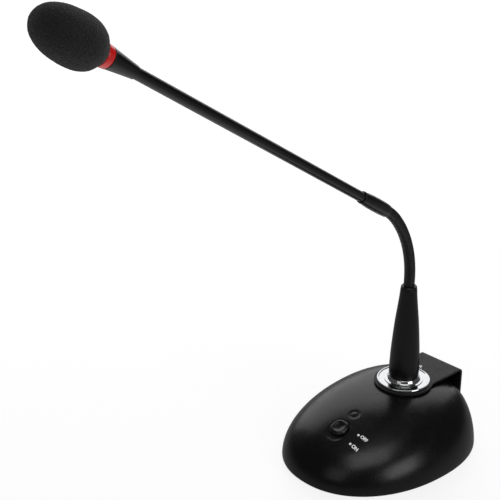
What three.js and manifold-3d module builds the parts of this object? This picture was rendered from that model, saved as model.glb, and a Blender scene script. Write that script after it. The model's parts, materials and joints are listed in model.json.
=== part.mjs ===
// Gooseneck podium microphone on a weighted teardrop base.
// Millimetres, +Z up. The origin is on the table, straight under the neck. The arm leans towards -Y.
import * as THREE from "three";
import { mergeVertices } from "three/addons/utils/BufferGeometryUtils.js";
import Module from "manifold-3d";

const wasm = await Module();
wasm.setup();

// ---- Driving dimensions ----

const GAP = 0.3; // clearance between pieces that touch or pass through each other

// The base is a dome whose level outlines are superellipses that shrink and move back as they rise.
const DOME_HEIGHT = 42;
const DOME_FRONT = 104.5; // from the neck to the front edge
const DOME_REAR = 50.6; // from the neck to the rear edge
const DOME_WIDTH = 124;
const DOME_WIDENING = 0.064; // the outline is a little wider behind than in front
const DOME_SQUARENESS = 2.19; // 2 would be a plain ellipse
const DOME_SIDE_POWER = 1.9;
const DOME_TOP_POWER = 3.02;
const DOME_LEAN_POWER = 2.27;
const DOME_TOP_Y = -5.8; // where the outlines close in on
const DOME_POINTS = 36;
const SHELL_WALL = 2.5;
const SHELL_BOTTOM = 0.6;
const SEAT_HEIGHT = 41.7; // flat on top of the dome, under the bracket

const PAD_THICKNESS = 1.8;
const PAD_INSET = 6;
const PLATE_BOTTOM = 2.1;
const PLATE_TOP = 3.6;
const PLATE_INSET = 4;
const BALLAST_BOTTOM = 3.9;
const BALLAST_TOP = 11.9;
const BALLAST_FRONT = -34;
const BALLAST_REAR = 27;
const BALLAST_INSET = 6;

const BASE_SCREW_PLACES = [[42, -60], [-42, -60], [36, 18], [-36, 18]];
const BASE_SCREW_BOSS_RADIUS = 3.8;
const BASE_SCREW_RADIUS = 1.4;
const BASE_SCREW_HEAD_RADIUS = 2.6;
const BASE_SCREW_TOP = 12;

// Battery compartment: two AA cells side by side along X, over a hinged door in the bottom.
const TRAY_HALF_LENGTH = 31;
const TRAY_FRONT = -73.5;
const TRAY_REAR = -39.5;
const TRAY_BOTTOM = 4.7;
const TRAY_TOP = 20.9;
const TRAY_WALL = 1.2;
const TRAY_END_WALL = 1.5;
const CELL_RADIUS = 7.25;
const CELL_LENGTH = 50.5;
const CELL_NUB_RADIUS = 2.6;
const CELL_NUB_LENGTH = 1.2;
const CELL_HEIGHT = 12.2;
const CELL_SPACING = 15.2;
const CELL_MIDDLE_Y = (TRAY_FRONT + TRAY_REAR) / 2;
const CONTACT_X = 28.7;
const CONTACT_THICKNESS = 0.5;
const DOOR_HALF_WIDTH = 29;
const DOOR_FRONT = -72.9;
const DOOR_HINGE_Y = -41.6;
const DOOR_HINGE_Z = 3.2;
const DOOR_BARREL_RADIUS = 1.1;
const DOOR_PIN_RADIUS = 0.6;
const DOOR_CLEARANCE = 0.4;
const TRAY_SCREW_X = 34.5;

// Output socket in the rear wall, below the bracket's tongue.
const JACK_HEIGHT = 8.2;
const JACK_BUSH_RADIUS = 3;
const JACK_BORE_RADIUS = 1.8;
const JACK_SEAT_Y = 47.6;
const JACK_END_Y = 49.8;
const REAR_BLOCK_FRONT = 43.7;
const REAR_BLOCK_HALF_WIDTH = 21.5;
const REAR_BLOCK_TOP = 27;

// Main circuit board, on two pillars of the ballast.
const BOARD_BOTTOM = 16;
const BOARD_THICKNESS = 1.6;
const BOARD_HALF_WIDTH = 22;
const BOARD_FRONT = -31;
const BOARD_REAR = 14;
const BOARD_SCREW_X = 18;
const BOARD_SCREW_Y = -12;

// Slide switch and indicator on the front slope. Heights here are measured from the dome's surface.
const CONTROLS_X = 2.3; // knob and indicator stand a little beside the middle
const SWITCH_Y = -71.6;
const SWITCH_TRAVEL = 4;
const KNOB_SIZE = 13.2;
const KNOB_CORNER = 5.4;
const KNOB_TOP = 1.8;
const KNOB_BOTTOM = -0.4;
const KNOB_STEM_HALF = [1.5, 2];
const DISH_DEPTH = 0.8;
const DISH_HALF = [8.4, 10.4];
const DISH_CORNER = 7;
const SWITCH_BODY_TOP = -3.3;
const SWITCH_BODY_BOTTOM = -7.4;
const SWITCH_BOARD_THICKNESS = 1.1;
const SWITCH_PILLAR = [10.5, 8];
const INDICATOR_Y = -56.2;
const LENS_RADIUS = 2.3;
const LED_RADIUS = 1.5;
const LED_ALONG_SLOPE = 16.1;

// Neck hardware, stacked on the dome's seat around one threaded tube.
const BRACKET_BOTTOM = 42;
const BRACKET_THICKNESS = 1.5;
const BRACKET_DISC_RADIUS = 21.9;
const BRACKET_HALF_WIDTH = 18.6;
const BRACKET_REAR = 47.8;
const BRACKET_BEND_RADIUS = 4;
const BRACKET_FILLET = 6;
const BRACKET_LEG_BOTTOM = 18;
const BRACKET_TONGUE_BOTTOM = 15;
const BRACKET_TONGUE_HALF_WIDTH = 10;
const BRACKET_SCREW = [-2.9, 23.3];
const FLANGE_BOTTOM = BRACKET_BOTTOM + BRACKET_THICKNESS + GAP;
const FLANGE_RADIUS = 20;
const FLANGE_TOP = 44.8;
const FLANGE_RIM_TOP = 45.3;
const HUB_RADIUS = 10.9;
const HUB_FOOT_RADIUS = 14.2;
const HUB_TOP = 48;
const THREAD_RADIUS = 5;
const THREAD_BORE_RADIUS = 3.2;
const THREAD_BOTTOM = 28.5;
const THREAD_TOP = 61;
const BOSS_BOTTOM = 36;
const HARDWARE_BORE_RADIUS = THREAD_RADIUS + GAP;

const STEM_BOTTOM = 48.3;
const STEM_TOP = 121.3;
const STEM_SOCKET_BOTTOM = 107;
const STEM_PROFILE = [
  [10.6, 48.3], [11, 48.6], [11.2, 49.3], [11.2, 56.7], [10.8, 66.9], [10.4, 73.6], [9.65, 83.6],
  [8.8, 93.3], [7.65, 103.1], [6.55, 112.9], [6.05, 119.3], [5.9, 120.6], [5.4, 121.3],
];

// Flexible neck: a short straight stretch, a wide arc and then a tighter one, which lean the arm forward.
const NECK_RADIUS = 4.05;
const NECK_STRAIGHT = 6;
const NECK_LOWER_BEND_RADIUS = 76.5;
const NECK_LOWER_BEND_ANGLE = THREE.MathUtils.degToRad(42);
const NECK_UPPER_BEND_RADIUS = 45.6;
const NECK_BEND_ANGLE = THREE.MathUtils.degToRad(57.88); // both arcs together
const NECK_LOWER_LENGTH = NECK_LOWER_BEND_RADIUS * NECK_LOWER_BEND_ANGLE;
const NECK_UPPER_LENGTH = NECK_UPPER_BEND_RADIUS * (NECK_BEND_ANGLE - NECK_LOWER_BEND_ANGLE);
const NECK_LENGTH = NECK_STRAIGHT + NECK_LOWER_LENGTH + NECK_UPPER_LENGTH;
const NECK_HINGES = 8;
const NECK_END_STRETCH = 5; // between each end of the neck and the hinge nearest to it
const NECK_PLUG_RADIUS = 3.3;
const NECK_PLUG_LENGTH = 11.5;
const LINK_HALF_GAP = 0.25;
const LINK_BEVEL = 0.62;
const LINK_FACE_RADIUS = 1.2;
const SOCKET_RADIUS = 3.6;

// Arm and head, along one straight axis measured from the top of the flexible neck.
const COLLAR_LENGTH = 31.1;
const TUBE_RADIUS = 3.5;
const TUBE_WALL = 0.8;
const TUBE_START = 12.6;
const TUBE_END = 258.9;
const TUBE_FIT = 0.15;
const FERRULE_START = 245.3;
const FERRULE_END = 262.6;
const FERRULE_END_RADIUS = 6.2;
const SLEEVE_START = 259.6;
const SLEEVE_RADIUS = 4.3;
const RING_START = 262.9;
const RING_END = 268.8;
const RING_RADIUS = 6.8;
const RING_WALL = 0.75;
const HOUSING_START = 269.1;
const HOUSING_SHOULDER_END = 296;
const HOUSING_END = 300;
const HOUSING_RADIUS = 6.55;
const HOUSING_WALL = 0.5;
const CAPSULE_RADIUS = 4.85;
const CAPSULE_START = 284.3;
const CAPSULE_LENGTH = 6.7;
const FOAM_START = 269.1;
const FOAM_LENGTH = 45.3;
const FOAM_RADIUS = 14.7;
const FOAM_SQUARENESS = 2.35;
const FOAM_TAPER = 0.11;
const FOAM_MOUTH_RADIUS = 6.85;
const FOAM_POCKET_END = 300.8;
const LEAD_RADIUS = 1.2;

// ---- Geometry helpers ----

// A geometry as a solid that can be joined and cut.
function toSolid(geometry) {
  const bare = geometry.clone();
  bare.deleteAttribute("normal");
  bare.deleteAttribute("uv");
  const merged = mergeVertices(bare, 1e-4);
  const mesh = new wasm.Mesh({
    numProp: 3,
    vertProperties: new Float32Array(merged.attributes.position.array),
    triVerts: new Uint32Array(merged.index.array),
  });
  return new wasm.Manifold(mesh);
}

function toGeometry(solid) {
  const mesh = solid.getMesh();
  const geometry = new THREE.BufferGeometry();
  geometry.setAttribute("position", new THREE.BufferAttribute(mesh.vertProperties, 3));
  geometry.setIndex(new THREE.BufferAttribute(mesh.triVerts, 1));
  geometry.computeVertexNormals();
  return geometry;
}

function join(...geometries) {
  return toGeometry(geometries.map(toSolid).reduce((whole, part) => whole.add(part)));
}

function cut(geometry, ...cutters) {
  return toGeometry(cutters.map(toSolid).reduce((left, cutter) => left.subtract(cutter), toSolid(geometry)));
}

function overlapOf(first, second) {
  return toGeometry(toSolid(first).intersect(toSolid(second)));
}

// A box given by its limits along each axis.
function box(x, y, z) {
  const geometry = new THREE.BoxGeometry(x[1] - x[0], y[1] - y[0], z[1] - z[0]);
  return geometry.translate((x[0] + x[1]) / 2, (y[0] + y[1]) / 2, (z[0] + z[1]) / 2);
}

// An upright solid of revolution. The profile is a list of [radius, height], up the outside.
function turned(profile, sides) {
  const points = profile.map(([radius, height]) => new THREE.Vector2(radius, height));
  return new THREE.LatheGeometry(points, sides).rotateX(Math.PI / 2);
}

function rod(radius, bottom, top, sides = 16) {
  return turned([[0, bottom], [radius, bottom], [radius, top], [0, top]], sides);
}

function ring(inner, outer, bottom, top, sides = 24) {
  const profile = [[inner, bottom], [outer, bottom], [outer, top], [inner, top], [inner, bottom]];
  return turned(profile, sides);
}

// A flat outline with a thickness, level.
function slab(shape, bottom, top, curveSegments = 12) {
  const geometry = new THREE.ExtrudeGeometry(shape, { depth: top - bottom, bevelEnabled: false, curveSegments });
  return geometry.translate(0, 0, bottom);
}

function roundedRectangle(halfX, halfY, corner) {
  const shape = new THREE.Shape();
  shape.moveTo(halfX, -halfY + corner);
  shape.lineTo(halfX, halfY - corner);
  shape.absarc(halfX - corner, halfY - corner, corner, 0, Math.PI / 2);
  shape.lineTo(-halfX + corner, halfY);
  shape.absarc(-halfX + corner, halfY - corner, corner, Math.PI / 2, Math.PI);
  shape.lineTo(-halfX, -halfY + corner);
  shape.absarc(-halfX + corner, -halfY + corner, corner, Math.PI, 1.5 * Math.PI);
  shape.lineTo(halfX - corner, -halfY);
  shape.absarc(halfX - corner, -halfY + corner, corner, 1.5 * Math.PI, 2 * Math.PI);
  return shape;
}

// A closed solid through rings with the same number of points, anticlockwise seen from the last ring.
function loft(rings) {
  const count = rings[0].length;
  const index = [];
  for (let level = 0; level + 1 < rings.length; level += 1) {
    for (let point = 0; point < count; point += 1) {
      const here = level * count + point;
      const next = level * count + ((point + 1) % count);
      index.push(here, next, next + count, here, next + count, here + count);
    }
  }
  const last = (rings.length - 1) * count;
  for (let point = 1; point + 1 < count; point += 1) {
    index.push(0, point + 1, point);
    index.push(last, last + point, last + point + 1);
  }
  const geometry = new THREE.BufferGeometry();
  geometry.setAttribute("position", new THREE.Float32BufferAttribute(rings.flat(2), 3));
  geometry.setIndex(index);
  geometry.computeVertexNormals();
  return geometry;
}

// A round bar along a curve.
function bar(curve, radius, steps, sides) {
  const section = new THREE.Shape();
  for (let side = 0; side < sides; side += 1) {
    const angle = (side / sides) * 2 * Math.PI;
    const [x, y] = [radius * Math.cos(angle), radius * Math.sin(angle)];
    if (side === 0) section.moveTo(x, y);
    else section.lineTo(x, y);
  }
  return new THREE.ExtrudeGeometry(section, { steps, extrudePath: curve, bevelEnabled: false });
}

// A screw that points down, with its head on top. The head's underside is at the given height.
function screw(headRadius, headHeight, shankRadius, shankLength, under) {
  const top = under + headHeight;
  return turned(
    [
      [0, under - shankLength],
      [shankRadius, under - shankLength],
      [shankRadius, under],
      [headRadius, under],
      [headRadius, under + 0.55 * headHeight],
      [0.7 * headRadius, top],
      [0, top],
    ],
    10,
  );
}

function finish(color, roughness, metalness = 0) {
  return new THREE.MeshStandardMaterial({ color, roughness, metalness });
}

function add(parent, name, geometry, material) {
  const mesh = new THREE.Mesh(geometry, material);
  mesh.name = name;
  parent.add(mesh);
  return mesh;
}

const blackPlastic = () => finish(0x17181a, 0.45);
const blackPaint = () => finish(0x141416, 0.5, 0.2);
const darkSteel = () => finish(0x3a3b3d, 0.5, 0.7);
const chrome = () => finish(0xe6e8ea, 0.08, 1);
const zincSteel = () => finish(0xa9adb0, 0.35, 0.9);
const boardGreen = () => finish(0x1d4a30, 0.6);
const rubber = () => finish(0x1b1b1b, 0.9);

// ---- The dome's shape ----

// The dome's level outline at a height. An inset makes the dome smaller all round by that much.
function domeOutline(height, inset = 0, points = DOME_POINTS) {
  const rise = height / (DOME_HEIGHT - inset);
  const shrink = (1 - rise ** DOME_SIDE_POWER) ** (1 / DOME_TOP_POWER);
  const baseMiddle = (DOME_REAR - DOME_FRONT) / 2;
  const middle = baseMiddle + (DOME_TOP_Y - baseMiddle) * rise ** DOME_LEAN_POWER;
  const halfWidth = (DOME_WIDTH / 2 - inset) * shrink;
  const halfLength = ((DOME_FRONT + DOME_REAR) / 2 - inset) * shrink;
  const rounded = (value) => Math.sign(value) * Math.abs(value) ** (2 / DOME_SQUARENESS);
  const outline = [];
  for (let point = 0; point < points; point += 1) {
    const angle = (point / points) * 2 * Math.PI;
    const across = rounded(Math.cos(angle));
    const along = rounded(Math.sin(angle));
    outline.push([halfWidth * across * (1 + DOME_WIDENING * along), halfLength * along + middle]);
  }
  return outline;
}

// The dome between two heights, with its levels closer together towards the top.
function domeSolid(bottom, top, inset = 0, levels = 12) {
  const height = DOME_HEIGHT - inset;
  const from = Math.asin(bottom / height);
  const to = Math.asin(top / height);
  const rings = [];
  for (let level = 0; level <= levels; level += 1) {
    const z = height * Math.sin(from + ((to - from) * level) / levels);
    rings.push(domeOutline(z, inset).map(([x, y]) => [x, y, z]));
  }
  return loft(rings);
}

// A slab with the dome's outline on the table, inset all round.
function outlineSlab(inset, bottom, top) {
  const level = (z) => domeOutline(0, inset).map(([x, y]) => [x, y, z]);
  return loft([level(bottom), level(top)]);
}

// The dome's height over a point of its middle line.
function middleHeight(y) {
  let low = 0;
  let high = DOME_HEIGHT;
  for (let step = 0; step < 40; step += 1) {
    const z = (low + high) / 2;
    const ys = domeOutline(z).map((point) => point[1]);
    const inside = y > Math.min(...ys) && y < Math.max(...ys);
    if (inside) low = z;
    else high = z;
  }
  return low;
}

// A frame on the dome beside its middle line: local Z stands out of the surface, local Y points up the slope.
function surfaceFrame(y) {
  const frame = new THREE.Group();
  const reach = 4;
  const slope = Math.atan2(middleHeight(y + reach) - middleHeight(y - reach), 2 * reach);
  frame.position.set(CONTROLS_X, y, middleHeight(y));
  frame.rotation.x = slope;
  frame.updateMatrix();
  return frame;
}

// ---- Base ----

function makeShell(switchFrame, indicatorFrame) {
  const outer = domeSolid(SHELL_BOTTOM, SEAT_HEIGHT, 0, 10);
  const inner = domeSolid(0, 0.997 * (DOME_HEIGHT - SHELL_WALL), SHELL_WALL, 6);
  const inFrame = (geometry, frame) => geometry.applyMatrix4(frame.matrix);
  const [pillarX, pillarY] = SWITCH_PILLAR;
  const inside = [
    box([-REAR_BLOCK_HALF_WIDTH, REAR_BLOCK_HALF_WIDTH], [REAR_BLOCK_FRONT, 60], [BALLAST_BOTTOM, REAR_BLOCK_TOP]),
    rod(13, BOSS_BOTTOM, SEAT_HEIGHT, 16),
    rod(3, BOSS_BOTTOM - 4, SEAT_HEIGHT, 8).translate(...BRACKET_SCREW, 0),
    ...BASE_SCREW_PLACES.map(([x, y]) => rod(BASE_SCREW_BOSS_RADIUS, BALLAST_BOTTOM, 36, 8).translate(x, y, 0)),
    ...[-1, 1].map((side) =>
      inFrame(rod(2.4, SWITCH_BODY_BOTTOM, -1.5, 8).translate(side * pillarX, pillarY, 0), switchFrame),
    ),
  ].map((part) => overlapOf(part, outer));
  const shell = join(cut(outer, inner), ...inside);
  const stemReach = KNOB_STEM_HALF[1] + 0.6;
  const stemWidth = KNOB_STEM_HALF[0] + 0.4;
  const legWidth = BRACKET_HALF_WIDTH + GAP;
  const tongueWidth = BRACKET_TONGUE_HALF_WIDTH + GAP;
  const legFront = BRACKET_REAR - BRACKET_THICKNESS - GAP;
  const dish = slab(roundedRectangle(...DISH_HALF, DISH_CORNER), -DISH_DEPTH, 6, 4);
  const slot = box([-stemWidth, stemWidth], [-stemReach - SWITCH_TRAVEL, stemReach], [-6, 6]);
  const jackWay = (radius, from) => rod(radius, from, 60, 16).rotateX(-Math.PI / 2).translate(0, 0, JACK_HEIGHT);
  return cut(
    shell,
    rod(HARDWARE_BORE_RADIUS, 20, 50, 16),
    rod(1.5, 20, 50, 8).translate(...BRACKET_SCREW, 0),
    box([-legWidth, legWidth], [legFront, 60], [BRACKET_LEG_BOTTOM - GAP, 60]),
    box([-tongueWidth, tongueWidth], [legFront, BRACKET_REAR + GAP], [BRACKET_TONGUE_BOTTOM - GAP, 30]),
    inFrame(dish.translate(0, -SWITCH_TRAVEL / 2, 0), switchFrame),
    inFrame(slot, switchFrame),
    inFrame(rod(LENS_RADIUS + GAP, -8, 5, 16), indicatorFrame),
    ...[-1, 1].map((side) =>
      inFrame(rod(1.2, SWITCH_BODY_BOTTOM - 1, -3.6, 8).translate(side * pillarX, pillarY, 0), switchFrame),
    ),
    ...BASE_SCREW_PLACES.map(([x, y]) => rod(BASE_SCREW_RADIUS + GAP, 0, BASE_SCREW_TOP + 1, 8).translate(x, y, 0)),
    jackWay(JACK_BUSH_RADIUS + GAP, 30),
    jackWay(5.2, JACK_SEAT_Y),
  );
}

function makeBottomPlate() {
  const opening = DOOR_HALF_WIDTH + DOOR_CLEARANCE;
  const hingeSide = DOOR_HINGE_Y + DOOR_BARREL_RADIUS + DOOR_CLEARANCE;
  return cut(
    outlineSlab(PLATE_INSET, PLATE_BOTTOM, PLATE_TOP),
    box([-opening, opening], [DOOR_FRONT - DOOR_CLEARANCE, hingeSide], [0, 6]),
    box([-opening - 2.6, opening + 2.6], [DOOR_HINGE_Y - 1.8, DOOR_HINGE_Y + 1.8], [0, 6]),
    ...BASE_SCREW_PLACES.map(([x, y]) => rod(BASE_SCREW_RADIUS + 0.4, 0, 6, 8).translate(x, y, 0)),
    ...[-1, 1].map((side) => rod(1.5, 0, 6, 8).translate(side * TRAY_SCREW_X, CELL_MIDDLE_Y, 0)),
  );
}

function makePad() {
  return cut(
    outlineSlab(PAD_INSET, 0, PAD_THICKNESS),
    box([-33.2, 33.2], [DOOR_FRONT - 1.4, DOOR_HINGE_Y + 2.8], [-1, 3]),
    ...BASE_SCREW_PLACES.map(([x, y]) => rod(BASE_SCREW_HEAD_RADIUS + 1, -1, 3, 12).translate(x, y, 0)),
  );
}

function makeBallast() {
  const body = overlapOf(
    outlineSlab(BALLAST_INSET, BALLAST_BOTTOM, BALLAST_TOP),
    box([-60, 60], [BALLAST_FRONT, BALLAST_REAR], [0, 20]),
  );
  const pillarTop = BOARD_BOTTOM - GAP;
  const pillars = [-1, 1].map((side) =>
    rod(3, BALLAST_TOP - 1, pillarTop, 8).translate(side * BOARD_SCREW_X, BOARD_SCREW_Y, 0),
  );
  return cut(
    join(body, ...pillars),
    ...BASE_SCREW_PLACES.map(([x, y]) => rod(BASE_SCREW_BOSS_RADIUS + 0.5, 0, 20, 8).translate(x, y, 0)),
    ...[-1, 1].map((side) => rod(1.5, 9, 20, 8).translate(side * BOARD_SCREW_X, BOARD_SCREW_Y, 0)),
  );
}

function addBase(base, switchFrame, indicatorFrame) {
  add(base, "base_shell", makeShell(switchFrame, indicatorFrame), blackPlastic());
  add(base, "bottom_plate", makeBottomPlate(), darkSteel());
  add(base, "non_slip_pad", makePad(), rubber());
  add(base, "ballast_weight", makeBallast(), finish(0x4a4a4c, 0.75, 0.6));
  BASE_SCREW_PLACES.forEach(([x, y], number) => {
    const under = PLATE_BOTTOM - GAP;
    const length = BASE_SCREW_TOP - under;
    const shape = screw(BASE_SCREW_HEAD_RADIUS, 1.3, BASE_SCREW_RADIUS, length, 0);
    const mesh = add(base, `base_screw_${number + 1}`, shape.rotateX(Math.PI), zincSteel());
    mesh.position.set(x, y, under);
  });
}

// ---- Battery compartment ----

function makeTray() {
  const innerEnd = TRAY_HALF_LENGTH - TRAY_END_WALL;
  const outer = box([-TRAY_HALF_LENGTH, TRAY_HALF_LENGTH], [TRAY_FRONT, TRAY_REAR], [TRAY_BOTTOM, TRAY_TOP]);
  const hollow = box(
    [-innerEnd, innerEnd],
    [TRAY_FRONT + TRAY_WALL, TRAY_REAR - TRAY_WALL],
    [0, TRAY_TOP - TRAY_WALL],
  );
  const hookWay = box([-5, 5], [TRAY_FRONT - 1, TRAY_FRONT + 1.5], [0, 9]);
  const lugInner = DOOR_HALF_WIDTH + DOOR_CLEARANCE;
  const sides = [-1, 1].flatMap((side) => {
    const across = (a, b) => [Math.min(side * a, side * b), Math.max(side * a, side * b)];
    return [
      box(across(lugInner, lugInner + 2.2), [DOOR_HINGE_Y - 1.4, DOOR_HINGE_Y + 1.4], [1.9, TRAY_BOTTOM + 0.1]),
      box(across(TRAY_HALF_LENGTH - 0.5, TRAY_SCREW_X + 2.5), [CELL_MIDDLE_Y - 2.5, CELL_MIDDLE_Y + 2.5], [3.9, 5.4]),
    ];
  });
  const pinHole = rod(DOOR_PIN_RADIUS + GAP, -40, 40, 10).rotateY(Math.PI / 2);
  return cut(
    join(cut(outer, hollow, hookWay), ...sides),
    pinHole.translate(0, DOOR_HINGE_Y, DOOR_HINGE_Z),
    ...[-1, 1].map((side) => rod(1.5, 0, 8, 8).translate(side * TRAY_SCREW_X, CELL_MIDDLE_Y, 0)),
  );
}

// The door's hinge barrel is its rear edge, with a pin at each end, and a hook stands at its front edge.
function makeDoor() {
  const panel = box([-DOOR_HALF_WIDTH, DOOR_HALF_WIDTH], [DOOR_FRONT, DOOR_HINGE_Y], [PLATE_BOTTOM, PLATE_TOP]);
  const alongHinge = (radius, half) =>
    rod(radius, -half, half, 10).rotateY(Math.PI / 2).translate(0, DOOR_HINGE_Y, DOOR_HINGE_Z);
  const hook = box([-4, 4], [DOOR_FRONT + 0.3, DOOR_FRONT + 1.2], [PLATE_TOP - 0.5, 8]);
  return join(
    panel,
    alongHinge(DOOR_BARREL_RADIUS, DOOR_HALF_WIDTH),
    alongHinge(DOOR_PIN_RADIUS, DOOR_HALF_WIDTH + 2.2),
    hook,
  );
}

// A cell along X whose positive nub ends just short of the contact at +X.
function makeCell() {
  const tip = CONTACT_X - GAP;
  const shoulder = tip - CELL_NUB_LENGTH;
  const tail = tip - CELL_LENGTH;
  const profile = [
    [0, tail], [CELL_RADIUS, tail], [CELL_RADIUS, shoulder],
    [CELL_NUB_RADIUS, shoulder], [CELL_NUB_RADIUS, tip], [0, tip],
  ];
  return turned(profile, 16).rotateY(Math.PI / 2);
}

// A conical coil spring between the contact at -X and a cell's flat end.
function makeCellSpring() {
  const turns = 3;
  const stepsPerTurn = 9;
  const wire = 0.35;
  const start = -CONTACT_X + GAP + wire;
  const end = CONTACT_X - GAP - CELL_LENGTH - GAP - wire;
  const points = [];
  for (let step = 0; step <= turns * stepsPerTurn; step += 1) {
    const part = step / (turns * stepsPerTurn);
    const angle = (step / stepsPerTurn) * 2 * Math.PI;
    const radius = THREE.MathUtils.lerp(4.6, 2.4, part);
    const x = THREE.MathUtils.lerp(start, end, part);
    points.push(new THREE.Vector3(x, radius * Math.cos(angle), radius * Math.sin(angle)));
  }
  return bar(new THREE.CatmullRomCurve3(points), wire, points.length - 1, 4);
}

function addBatteries(base) {
  add(base, "battery_tray", makeTray(), blackPlastic());
  add(base, "battery_door", makeDoor(), blackPlastic());
  const contactMetal = () => finish(0xc9c3a6, 0.35, 0.9);
  [-1, 1].forEach((side, number) => {
    const mesh = add(base, `tray_screw_${number + 1}`, screw(2.2, 1.3, 1.2, 3.4, 5.7), zincSteel());
    mesh.position.set(side * TRAY_SCREW_X, CELL_MIDDLE_Y, 0);
  });
  [-1, 1].forEach((side, number) => {
    const slot = new THREE.Group();
    slot.position.set(0, CELL_MIDDLE_Y + (side * CELL_SPACING) / 2, CELL_HEIGHT);
    slot.rotation.z = number * Math.PI; // the two cells point opposite ways
    base.add(slot);
    add(slot, `battery_cell_${number + 1}`, makeCell(), finish(0xb8a04a, 0.4, 0.3));
    add(slot, `battery_spring_${number + 1}`, makeCellSpring(), contactMetal());
  });
  const contact = (side, y) =>
    box(
      side > 0 ? [CONTACT_X, CONTACT_X + CONTACT_THICKNESS] : [-CONTACT_X - CONTACT_THICKNESS, -CONTACT_X],
      y,
      [CELL_HEIGHT - 6, CELL_HEIGHT + 6],
    );
  const reach = CELL_SPACING / 2 + 5;
  const near = CELL_SPACING / 2 - 5;
  add(base, "battery_link_contact", contact(-1, [CELL_MIDDLE_Y - reach, CELL_MIDDLE_Y + reach]), contactMetal());
  add(base, "battery_positive_contact", contact(1, [CELL_MIDDLE_Y - reach, CELL_MIDDLE_Y - near]), contactMetal());
  add(base, "battery_negative_contact", contact(1, [CELL_MIDDLE_Y + near, CELL_MIDDLE_Y + reach]), contactMetal());
}

// ---- Electronics in the base ----

function addElectronics(base, switchFrame) {
  const boardTop = BOARD_BOTTOM + BOARD_THICKNESS;
  const board = cut(
    box([-BOARD_HALF_WIDTH, BOARD_HALF_WIDTH], [BOARD_FRONT, BOARD_REAR], [BOARD_BOTTOM, boardTop]),
    ...[-1, 1].map((side) => rod(1.5, 0, 30, 8).translate(side * BOARD_SCREW_X, BOARD_SCREW_Y, 0)),
  );
  add(base, "circuit_board", board, boardGreen());
  [-1, 1].forEach((side, number) => {
    const mesh = add(base, `board_screw_${number + 1}`, screw(2.2, 1.3, 1.2, 6, boardTop + GAP), zincSteel());
    mesh.position.set(side * BOARD_SCREW_X, BOARD_SCREW_Y, 0);
  });
  const chip = box([-10, -3], [-26, -20], [boardTop + GAP, boardTop + 2]);
  add(base, "preamp_chip", chip, finish(0x1a1a1a, 0.5));

  const boardUpper = SWITCH_BODY_BOTTOM - GAP;
  const boardLower = boardUpper - SWITCH_BOARD_THICKNESS;
  const [pillarX, pillarY] = SWITCH_PILLAR;
  const switchBoard = cut(
    box([-13, 13], [-8.5, 19.8], [boardLower, boardUpper]),
    ...[-1, 1].map((side) => rod(1.2, -12, 0, 8).translate(side * pillarX, pillarY, 0)),
  );
  add(switchFrame, "switch_board", switchBoard, boardGreen());
  [-1, 1].forEach((side, number) => {
    const shape = screw(1.8, 1.2, 0.9, 4.8, 0).rotateX(Math.PI);
    const mesh = add(switchFrame, `switch_board_screw_${number + 1}`, shape, zincSteel());
    mesh.position.set(side * pillarX, pillarY, boardLower - GAP);
  });
  const stemReach = KNOB_STEM_HALF[1] + 0.4;
  const switchBody = cut(
    box([-4.2, 4.2], [-8, 5], [SWITCH_BODY_BOTTOM, SWITCH_BODY_TOP]),
    box([-2, 2], [-stemReach - SWITCH_TRAVEL, stemReach], [-5.8, 0]),
  );
  add(switchFrame, "slide_switch_body", switchBody, zincSteel());
  const led = rod(LED_RADIUS, SWITCH_BODY_BOTTOM, -4.8, 12).translate(0, LED_ALONG_SLOPE, 0);
  add(switchFrame, "indicator_led", led, finish(0xb01818, 0.2));
}

function addControls(switchFrame, indicatorFrame) {
  const cap = slab(roundedRectangle(KNOB_SIZE / 2, KNOB_SIZE / 2, KNOB_CORNER), KNOB_BOTTOM, KNOB_TOP, 4);
  const [halfX, halfY] = KNOB_STEM_HALF;
  const stem = box([-halfX, halfX], [-halfY, halfY], [-5.2, KNOB_BOTTOM + 0.5]);
  add(switchFrame, "switch_knob", join(cap, stem), finish(0x202123, 0.4));
  const lens = rod(LENS_RADIUS, -2.4, 0.3, 16);
  add(indicatorFrame, "indicator_lens", lens, finish(0x2a1010, 0.15));
}

function addSocket(base) {
  const turnedBack = (geometry) => geometry.rotateX(-Math.PI / 2).translate(0, 0, JACK_HEIGHT);
  const body = box([-4.5, 4.5], [31, REAR_BLOCK_FRONT - GAP], [JACK_HEIGHT - 4, JACK_HEIGHT + 4]);
  const bush = turnedBack(rod(JACK_BUSH_RADIUS, 40, JACK_END_Y, 16));
  const bore = turnedBack(rod(JACK_BORE_RADIUS, 34.6, JACK_END_Y + 1, 10));
  add(base, "output_jack", cut(join(body, bush), bore), finish(0x9a9c9e, 0.3, 0.9));
  const nut = turnedBack(ring(JACK_BUSH_RADIUS + GAP, 4.6, JACK_SEAT_Y + GAP, JACK_END_Y - GAP, 12));
  add(base, "jack_nut", nut, zincSteel());
}

// ---- Neck hardware and stem ----

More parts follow.
